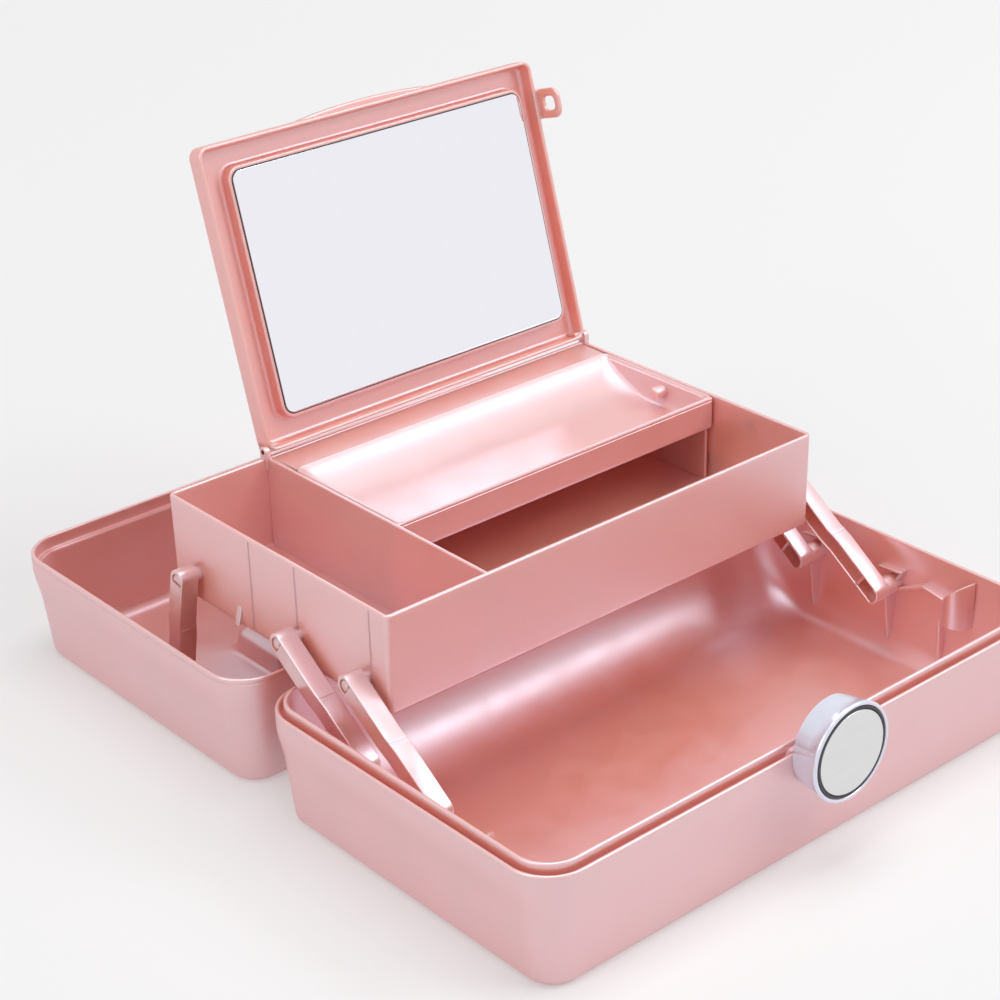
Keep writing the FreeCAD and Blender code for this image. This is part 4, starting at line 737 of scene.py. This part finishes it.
def finger_cup(side):
    """Half a round cup on the wall: circle points carried up the outer face, over the rim and
    down the inner face. The rim's height falls to the rear and rises a little away from the wall."""
    centre = np.array(CUP_CENTRE) * (side, 1)
    angle = np.radians(np.linspace(90, 270, 25) if side > 0 else np.linspace(-90, 90, 25))
    half_circle = np.column_stack([np.cos(angle), np.sin(angle)])
    tip = (0, 0, 0.3)

    def face_rows(radius, low):
        """One face of the cup's wall as three rows, at its foot, half way up and at its rim."""
        flat = centre + radius * half_circle * (CUP_REACH, 1)
        top = CUP_TOP - (flat[:, 1] - centre[1]) * CUP_FALL + 0.12 * np.abs(centre[0] - flat[:, 0])
        return [np.column_stack([flat, low + (top - low) * part]) for part in (0.0, 0.5, 1.0)]

    outer, inner = face_rows(CUP_R, CUP_FOOT), face_rows(CUP_R - 1.6, CUP_FOOT + 2)
    crest = (outer[2] + inner[2]) / 2 + (0, 0, 0.5)
    stack = [outer[0], outer[1], outer[2] - tip, crest, inner[2] - tip, inner[1], inner[0]]
    rows, count = len(stack), len(half_circle)
    last = (rows - 1) * count
    faces = grid_faces(rows, count, closed_rows=False)
    faces += [list(range(count)), list(range(last, last + count))]
    faces += [[row * count + end for row in range(rows)] for end in (0, count - 1)]
    return np.concatenate(stack), faces


def base_fittings():
    """Bosses, ribs, ledges, arm stops and finger cups on the base's end walls, and its knuckles.
    Each stop has a level strip and a steep one beside its boss."""
    parts = []
    for side in (-1, 1):
        wall = span(side, 154.0, END_WALL)
        strips = [strip_loop((-8.0, 40.5), 154.9, 18, 1.6), strip_loop((-24.0, 47.6), 190.0, 13.5, 1.6)]
        for y, z in ARM_PIVOTS:
            parts += wall_boss(side, (y, z), z - 3, 29)
            strips.append(strip_loop((y - 6.8, z + 7.6), -5.5, 15.5, 1.4))
            strips.append(strip_loop((y - 7.0, z + 8.2), -62, 8.5, 1.3))
        parts += [slab(strip, *wall, 0.5) for strip in strips]
        parts += [wall_rib(side, -35.8, 33.0, 25.0, 152.6), finger_cup(side)]
        middle = HINGE_X * side
        parts += [barrel(middle + first, middle + first + 14) for first in (-21.3, 7.3)]
    return mesh_piece("base_wall_fittings", *gather(parts), "shell", "base", "pearl_shell")


def lid_fittings():
    """The rear arms' bosses and ribs on the lid's end walls, and the lid's two knuckles."""
    parts = []
    for side in (-1, 1):
        parts += wall_boss(side, REAR_PIVOT, REAR_PIVOT[1] - 3, 14)
        parts.append(barrel(HINGE_X * side - 7, HINGE_X * side + 7, on_lid=True))
    return mesh_piece("lid_wall_fittings", *gather(parts), "shell", "lid", "pearl_shell")


# ---- arms
def arm_loop(length):
    """The outline of an arm, from its lower pivot at zero: two round ends joined by straight
    sides that each step from the full radius to the relief half way along. The lower end's arc
    comes first, then one side, the upper end's arc and the other side."""
    lean = math.asin(ARM_RELIEF / ARM_R)
    near = np.linspace(math.pi / 2, math.pi + lean, ARM_ARC)
    far = np.linspace(-math.pi / 2, lean, ARM_ARC)
    ramp = length / 2 - ARM_RAMP / 2, length / 2 + ARM_RAMP / 2
    return np.concatenate([
        ARM_R * np.column_stack([np.cos(near), np.sin(near)]),
        [(ramp[0], -ARM_RELIEF), (ramp[1], -ARM_R)],
        ARM_R * np.column_stack([np.cos(far), np.sin(far)]) + (length, 0),
        [(length + 0.4, ARM_RELIEF), (ramp[1], ARM_RELIEF), (ramp[0], ARM_R)],
    ])


def channel_rows():
    """(inset, place) rows of an arm's section: from the middle of its outer plate round the edge,
    along the wall, over the half-round rim by the tray and down inside to the plate again."""
    tray_face, outer_face = ARM_FACES
    quarter, half_turn = np.linspace(0, math.pi / 2, 5), np.linspace(0, math.pi, 9)
    inner_face, half = outer_face - ARM_PLATE, ARM_WALL / 2
    rows = [(ARM_EDGE + HOLD, outer_face)]
    rows += zip(ARM_EDGE * (1 - np.sin(quarter)), outer_face - ARM_EDGE * (1 - np.cos(quarter)))
    rows += zip(half - half * np.cos(half_turn), tray_face + half - half * np.sin(half_turn))
    rows.append((ARM_WALL, inner_face - ARM_FILLET))
    root = np.linspace(0.4, math.pi / 2, 4)
    rows += zip(
        ARM_WALL + ARM_FILLET * (1 - np.cos(root)), inner_face - ARM_FILLET * (1 - np.sin(root))
    )
    return rows


def plate_faces(count, start, turn):
    """The outer plate round the D-shaped recess, as two polygons that meet beside the recess:
    the tip beyond the upper pivot, and the root towards the lower one."""
    first, last = ARM_ARC + 2, 2 * ARM_ARC + 2
    middle, quarter = start + PEG_POINTS // 2, round(PEG_POINTS // 2 * math.pi / 2 / turn)
    low, high, end = middle - quarter, middle + quarter, start + PEG_POINTS - 1
    tip = [*range(first, last + 1), *range(high, low - 1, -1)]
    root = [*range(last, count), *range(first + 1), *range(low, start - 1, -1), *range(end, high - 1, -1)]
    return [tip, root]


def arm(side, pivot, lean, length):
    """A channel arm: a rimmed channel open to the tray, closed outside by a plate in which a
    D-shaped recess shows the tray's peg. It is drawn along Y and turned by its lean."""
    loop = arm_loop(length)
    tray_face, outer_face = ARM_FACES
    rings = [lay(inset(loop, d), place, "x") for d, place in channel_rows()]
    points, faces = skin(rings, caps=False)
    count, start = len(loop), len(points)
    faces.append(list(range(start - count, start)))

    turn = math.acos(-PEG_FLAT / PEG_R)
    angle = np.linspace(-turn, turn, PEG_POINTS)
    recess = np.column_stack([length + PEG_R * np.cos(angle), PEG_R * np.sin(angle)])
    depths = ((0.0, 0.0), (0.0, 0.25), (0.1, RECESS), (0.5, RECESS))
    recess_rings = [lay(inset(recess, d), outer_face - depth, "x") for d, depth in depths]
    points = np.concatenate([points] + recess_rings)
    faces += grid_faces(len(depths), PEG_POINTS, start=start)
    faces.append(list(range(len(points) - PEG_POINTS, len(points))))
    faces += plate_faces(count, start, turn)

    web = slab(block(7.5, 9.0, -4.0, 4.6), tray_face + 0.3, outer_face - 1.5, 0.3)
    peg = slab(inset(recess, 0.75), outer_face - RECESS - 0.1, outer_face - 0.35, 0.2)
    lines = []
    for start_line in (length / 2 - 1.6, length / 2 + 0.6):
        line = block(start_line, start_line + 0.5, 4.0, 5.15)
        lines.append(slab(line, tray_face + 0.3, outer_face - 0.3, 0.15))
    points, faces = gather([(points, faces), web, peg] + lines)

    return swung(points * (side, 1, 1), pivot, lean), faces


def arm_pieces():
    """The six arms: three on each side, each pair on a body of its own."""
    rows = (
        ("front", ARM_PIVOTS[0], ARM_LEAN, ARM_LENGTH),
        ("middle", ARM_PIVOTS[1], ARM_LEAN, ARM_LENGTH),
        ("rear", REAR_PIVOT, REAR_LEAN, REAR_LENGTH),
    )
    for side, name in ((-1, "left"), (1, "right")):
        for row, *place in rows:
            points, faces = arm(side, *place)
            piece = mesh_piece(f"{row}_swing_arm_{name}", points, faces, "arm", f"{row}_arms", "pearl_arm")
            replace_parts(piece, f"{row}_arm_{name}")


# ---- tray and scoop shelf
def tray_ring(inward, z):
    """The tray's outline at a height, moved in by inward: towards the foot the outer face of the
    wall leans in, and its inner face leans out."""
    draft = (TRAY_HIGH - z) * TRAY_DRAFT
    inward = inward + (draft if inward < 1 else -draft)
    middle, depth = (TRAY_FRONT + TRAY_REAR) / 2, TRAY_REAR - TRAY_FRONT
    return outline(TRAY_W - 2 * inward, depth - 2 * inward, max(3.0 - inward, 0.9), (0, middle), z)


def tray_side_fittings(side):
    """The pegs, stud and tab on one end wall of the tray, and the fine mould lines down it."""
    parts = []
    for pivot in TRAY_PIVOTS:
        parts.append(rod(pivot, PIN_R, *span(side, TRAY_ROOT, ARM_FACES[1]), edge=0.4))
        parts.append(rod(pivot, STUD_R, *span(side, TRAY_ROOT, ARM_FACES[0] - ARM_GAP), edge=0.4))
    parts.append(rod(REAR_STUD, STUD_R, *span(side, TRAY_ROOT, ARM_FACES[0] - ARM_GAP), edge=0.5))
    tab = mirrored(side, [(133.8, 68.1), (137.6, 68.1), (135.4, 77.1), (133.8, 77.1)])
    parts.append(slab(tab, 147.9, 151.5, 0.4, "y"))
    for y in MOULD_LINES:
        line = block(y, y + 0.7, TRAY_LOW + 2, TRAY_HIGH - 1.5)
        parts.append(slab(line, *span(side, 134.4, 135.72), 0.2))
    return parts


def mirror_ears():
    """Two upright ears on the tray with round heads on the mirror lid's axis."""
    angle = np.radians(np.linspace(0, 180, 15))
    head = MIRROR_AXIS + 2.6 * np.column_stack([np.cos(angle), np.sin(angle)])
    ear = np.concatenate([[(200.4, 111.4), (205.6, 111.4)], head])
    return [slab(ear, *places, 0.5) for places in ((-79.5, -76.4), (134.2, 137.5))]


def tray_box_piece():
    """The tray: drafted walls with a beaded rim, a partition between its two bins, and the pegs,
    ears and tabs that it hangs by."""
    foot = 1.2
    inner_foot = TRAY_LOW + TRAY_FLOOR
    rows = [(2.2, TRAY_LOW)] + arc((foot, TRAY_LOW + foot), foot, 270, 180, 5)
    rows += [(0.0, z) for z in np.linspace(TRAY_LOW + 4, TRAY_HIGH - 3, 6)]
    rows += rim_round(0.0, TRAY_WALL, TRAY_HIGH)
    rows += [(TRAY_WALL, z) for z in np.linspace(TRAY_HIGH - 4, TRAY_LOW + 6, 6)]
    rows += arc((TRAY_WALL + 1.6, inner_foot + 1.6), 1.6, 180, 270, 5) + [(TRAY_WALL + 3, inner_foot)]
    parts = [skin([tray_ring(*row) for row in rows])]
    divider = block(TRAY_FRONT + 1.4, TRAY_REAR - 1.4, TRAY_LOW + 1, TRAY_HIGH)
    parts.append(slab(divider, *PARTITION, 0.9))
    parts += tray_side_fittings(-1) + tray_side_fittings(1) + mirror_ears()
    parts.append(rod((76.3, 109.0), 2.6, TRAY_ROOT, TRAY_ROOT + 2.4, 0.6))
    return mesh_piece("two_bin_tray", *gather(parts), "tray", "tray", "pearl_tray")


def scoop_back(z):
    """Where the curved back of the scoop stands at a height: on a circle that touches the floor
    at its flat's end and passes through the top, y = flat + root(radius^2 - (radius - rise)^2)."""
    sweep, depth = SCOOP_BACK - SCOOP_FLAT, SHELF_Z[1] - SCOOP_FLOOR
    radius = (sweep**2 + depth**2) / (2 * depth)
    rise = np.clip(z - SCOOP_FLOOR, 0, depth)
    return SCOOP_FLAT + float(np.sqrt(np.maximum(radius**2 - (radius - rise) ** 2, 0)))


def shelf_piece():
    """The scoop shelf, as rings from its underside out to its top edge, over a bead and down into
    the scoop, with a round nub at its right end and two hidden legs."""
    (left, right), (front, rear), (low, top) = SHELF_X, SHELF_Y, SHELF_Z

    def ring(sides, fore, back, corner, z):
        """The shelf's outline cut back at both ends and in front, and reaching to y = back."""
        cut_left, cut_right = sides
        x0, x1, y0 = left + cut_left, right - cut_right, front + fore
        return outline(x1 - x0, back - y0, corner, ((x0 + x1) / 2, (y0 + back) / 2), z)

    rings = []
    for cut, rise in ((1.0, 0.0), (0.3, 0.3), (0.0, 1.0)):
        rings.append(ring((cut, cut), cut, SCOOP_FLAT + 4 - cut, 1.5, low + rise))
    for z in np.linspace(low + 2.5, top - 2.2, 6):
        rings.append(ring((0, 0), 0, scoop_back(z + 1.2) + 2.2, 1.5, z))
    rings.append(ring((0, 0), 0, rear - 1, 1.2, top - 2))
    for cut, drop in ((0.2, 1.8), (0.0, 0.7), (0.25, 0.2), (0.7, 0.0)):
        rings.append(ring((cut, cut), cut, rear - cut, 1.2, top - drop))
    for turn in np.radians(np.linspace(0, 180, 9)):
        out = 2.0 - SHELF_BEAD * (1 - math.cos(turn))
        z = top + 0.75 * SHELF_BEAD * math.sin(turn)
        rings.append(ring((2.0 - out, 2.0 - out), 2.0 - out, SCOOP_BACK + 0.3 + out, 3.0 + 0.6 * out, z))
    for deep in (1.0, 2.5, 4.5, 7.0, 9.5, top - SCOOP_FLOOR - 2.4):
        sides = (2.8, 2.8 + 0.04 * deep**1.5)
        rings.append(ring(sides, 2.6, scoop_back(top - deep), 3.0 + 0.9 * deep, top - deep))
    for turn in np.radians(np.linspace(20, 90, 5)):
        inward = SCOOP_ROUND * (1 - math.cos(turn))
        z = SCOOP_FLOOR + SCOOP_ROUND * (1 - math.sin(turn))
        rings.append(ring((2.8 + inward, 4.6 + inward), 2.6 + inward, scoop_back(z), 13.0, z))
    parts = [skin(rings), rod(NUB, NUB_R, 122.0, 131.0, 1.3)]
    leg = block(front + 3, front + 39, TRAY_LOW + 2.3, low + 0.5)
    parts += [slab(leg, x, x + 1.6, 0.3) for x in (left + 0.8, right - 2.4)]
    return mesh_piece("scoop_insert", *gather(parts), "tray", "tray", "pearl_tray")


# ---- mirror lid
def leaned(points):
    """Points given as (x, along the lid, out of its back) swung to the open lid's lean."""
    return swung(points, MIRROR_AXIS, MIRROR_LEAN)


def pan_ring(inward, z):
    """The mirror lid's outline moved in."""
    return outline(PAN[0] - 2 * inward, PAN[1] - 2 * inward, max(PAN_CORNER - inward, 2.0), PAN[2], z)


def pane_ring(grow, z, corner):
    """The pane's outline grown all round."""
    return outline(PANE[0] + 2 * grow, PANE[1] + 2 * grow, corner, PANE[2], z)


def seat_ring(grow, z):
    """The pedestal round the pane, whose corner grows with it."""
    return pane_ring(grow, z, PANE_CORNER + max(grow, 0))


def mirror_pan():
    """The pan in one run: a hollow back, its outer wall, the beaded rim, the trough inside it and
    the pedestal that holds the pane."""
    hollow = [(-1.0, -2.8), (-0.4, -2.8), (0.2, -3.3), (0.2, -7.5), (0.7, PAN_BACK)]
    side = [(1.8, PAN_BACK)] + arc((1.5, PAN_BACK + 1.5), 1.5, 270, 180, 6) + [(0, -3.0), (0, 0.0)]
    rim = rim_round(0.0, 2.0, 2.5) + [(2.0, -1.0)]
    trough = arc((4.4, PAN_FLOOR + 2.4), 2.4, 180, 270, 7) + [(5.0, PAN_FLOOR)]
    pedestal = [(4.6, PAN_FLOOR)] + arc((4.0, PAN_FLOOR + 1.8), 1.8, 270, 180, 6) + [(2.2, -1.5)]
    pedestal += arc((1.5, -0.1), 0.7, 0, 90, 5)
    pedestal += [(0.6, 0.6), (0.32, 0.52), (0.2, 0.3), (0.2, -0.8), (-1.0, -0.8)]
    rings = [seat_ring(*row) for row in hollow]
    rings += [pan_ring(*row) for row in side + rim + trough]
    return skin(rings + [seat_ring(*row) for row in pedestal])


def mirror_lid_piece():
    """The mirror lid: its pan, a bowed finger lip on the far edge, the catch loop on its right,
    with a stub below it, and two ears at the axis."""
    parts = [mirror_pan()]
    middle = PAN[2][0]
    along = np.linspace(-1, 1, 41)
    bow = np.column_stack([middle + 48 * along[::-1], 149.4 + 3.8 * (1 - along**2) ** 0.7])
    lip = np.concatenate([[(middle - 47.5, 148.6), (middle + 47.5, 148.6)], bow])
    parts.append(slab(lip, -7.6, -4.6, 1.1, "z"))
    loop_out, loop_in = block(118.7, 134.7, -1.5, 17.5, 5.5, 8), block(123.0, 130.4, 5.2, 13.3, 2.6, 8)
    parts.append(pierced_slab(loop_out, loop_in, 136.5, 138.4, 0.85))
    parts.append(slab(block(118.7, 134.7, -1.5, 2.1, 0.6), 133.8, 138.4, 0.6))
    ear = block(-1.2, 2.6, -7.6, 1.6, 0.5)
    parts += [slab(ear, x, x + 6.0, 0.4) for x in (-76.5, 128.5)]
    points, faces = gather(parts)
    return mesh_piece("mirror_frame", leaned(points), faces, "frame", "mirror_lid", "pearl_tray")


def mirror_pane_piece():
    """The glass pane, with a narrow polished bevel round its front."""
    rows = ((0.8, -0.3), (0.15, -0.3), (0.0, -0.15), (0.0, 0.95), (0.1, 1.12), (0.5, 1.2), (2.0, 1.2))
    points, faces = skin([pane_ring(-d, z, PANE_CORNER - 0.5 * d) for d, z in rows])
    return mesh_piece("mirror_pane", leaned(points), faces, "glass", "mirror_lid", "mirror_glass")


def mirror_gap_shade_piece():
    """A dark band in the narrow gap between the glass's edge and its seat, in the tape's dark finish: it
    paints the shade in that gap as a dark line round the glass.
    """
    rows = ((0.03, -0.5), (0.55, -0.5), (0.55, 0.75), (0.4, 0.95), (0.03, 0.95))
    points, faces = skin([seat_ring(*row) for row in rows], caps=False, closed_rings=True)
    return mesh_piece("mirror_gap_shade_band", leaned(points), faces, "tape", "mirror_lid", "backing_tape")


# ---- handle and latch
def handle_piece():
    """The bail: a U-shaped outline, thick and well rounded."""
    corners = [
        (-BAIL_OUT, BAIL_NEAR), (-BAIL_IN, BAIL_NEAR), (-BAIL_IN, BAIL_INSIDE), (BAIL_IN, BAIL_INSIDE),
        (BAIL_IN, BAIL_NEAR), (BAIL_OUT, BAIL_NEAR), (BAIL_OUT, BAIL_FAR), (-BAIL_OUT, BAIL_FAR),
    ]
    loop = round_corners(corners, (4.4, 4.4, 4.0, 4.0, 4.4, 4.4, 6.0, 6.0))
    points, faces = slab(loop, BAIL_LOW, BAIL_HIGH, BAIL_EDGE, "z")
    return mesh_piece("bail_handle", points, faces, "shell", "handle", "pearl_shell")


def latch_rings(rows):
    """Circles round the latch's axis, for rows of a radius and a distance behind its face."""
    profile = [(radius, LATCH_Y + behind) for radius, behind in rows]
    return turned_rings(profile, (0.0, LATCH_Z), "y", LATCH_STEPS)


def latch_housing_piece():
    """The round latch cup: a cone with a full round front rim and a bore for the push disc, and
    two lugs that the hook turns between."""
    wall = -DEPTH / 2 - LATCH_Y
    rows = [(21.0, wall - 0.05), (21.6, wall - 0.15), (22.0, 12.9), (22.9, 7.0), (23.7, 1.9)]
    rows += [(23.0 + 1.1 * math.cos(a), 1.4 - 1.4 * math.sin(a)) for a in np.linspace(0.0, math.pi, 13)]
    rows += [(22.05, 2.0), (22.05, 3.5), (20.5, 3.6), (20.5, 13.5), (20.0, 13.9)]
    lug = block(-104.2, -98.0, 49.0, 55.0, 0.8)
    lugs = [slab(lug, x - 1.0, x + 1.0, 0.3) for x in (-6.3, 6.3)]
    points, faces = gather([skin(latch_rings(rows))] + lugs)
    return mesh_piece("latch_cup", points, faces, "latch", "base", "pearl_latch")


def shade_ring_piece():
    """The near-black ring between the latch cup and the push disc: its dark colour paints the shade in the
    narrow gap round the disc.
    """
    rows = ((20.5, 2.7), (20.5, 0.6), (20.7, 0.3), (21.2, 0.2), (21.7, 0.3), (21.9, 0.6), (21.9, 2.7))
    points, faces = skin(latch_rings(rows), caps=False, closed_rings=True)
    return mesh_piece("disc_gap_shade_ring", points, faces, "dark", "base", "dark_ring")


def push_disc_piece():
    """The bright push disc, flat in front with a rolled edge."""
    rows = [(19.0, 0.9), (20.0, 0.9), (20.2, 0.75), (20.2, 0.35), (20.05, 0.14), (19.7, 0.06)]
    rows += [(radius, 0.0) for radius in (19.0, 12.0, 4.0)]
    return mesh_piece("push_disc", *skin(latch_rings(rows)), "silver", "latch_button", "silver_plate")


place_camera()
pale_world()
hang_lamps()
pale_floor()
make_finishes()
dress_nodes()
base_shell_piece()
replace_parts(base_fittings(), "base_shell")
lid_shell_piece()
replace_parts(lid_fittings(), "lid_shell")
arm_pieces()
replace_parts(tray_box_piece(), "tray_box")
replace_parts(shelf_piece(), "scoop_shelf")
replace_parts(mirror_lid_piece(), "mirror_lid")
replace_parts(mirror_pane_piece(), "mirror_glass")
mirror_gap_shade_piece()
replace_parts(handle_piece(), "carry_handle")
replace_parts(latch_housing_piece(), "latch_housing")
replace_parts(shade_ring_piece(), "button_ring")
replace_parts(push_disc_piece(), "button_plate")
bpy.context.scene.view_settings.view_transform = "Standard"
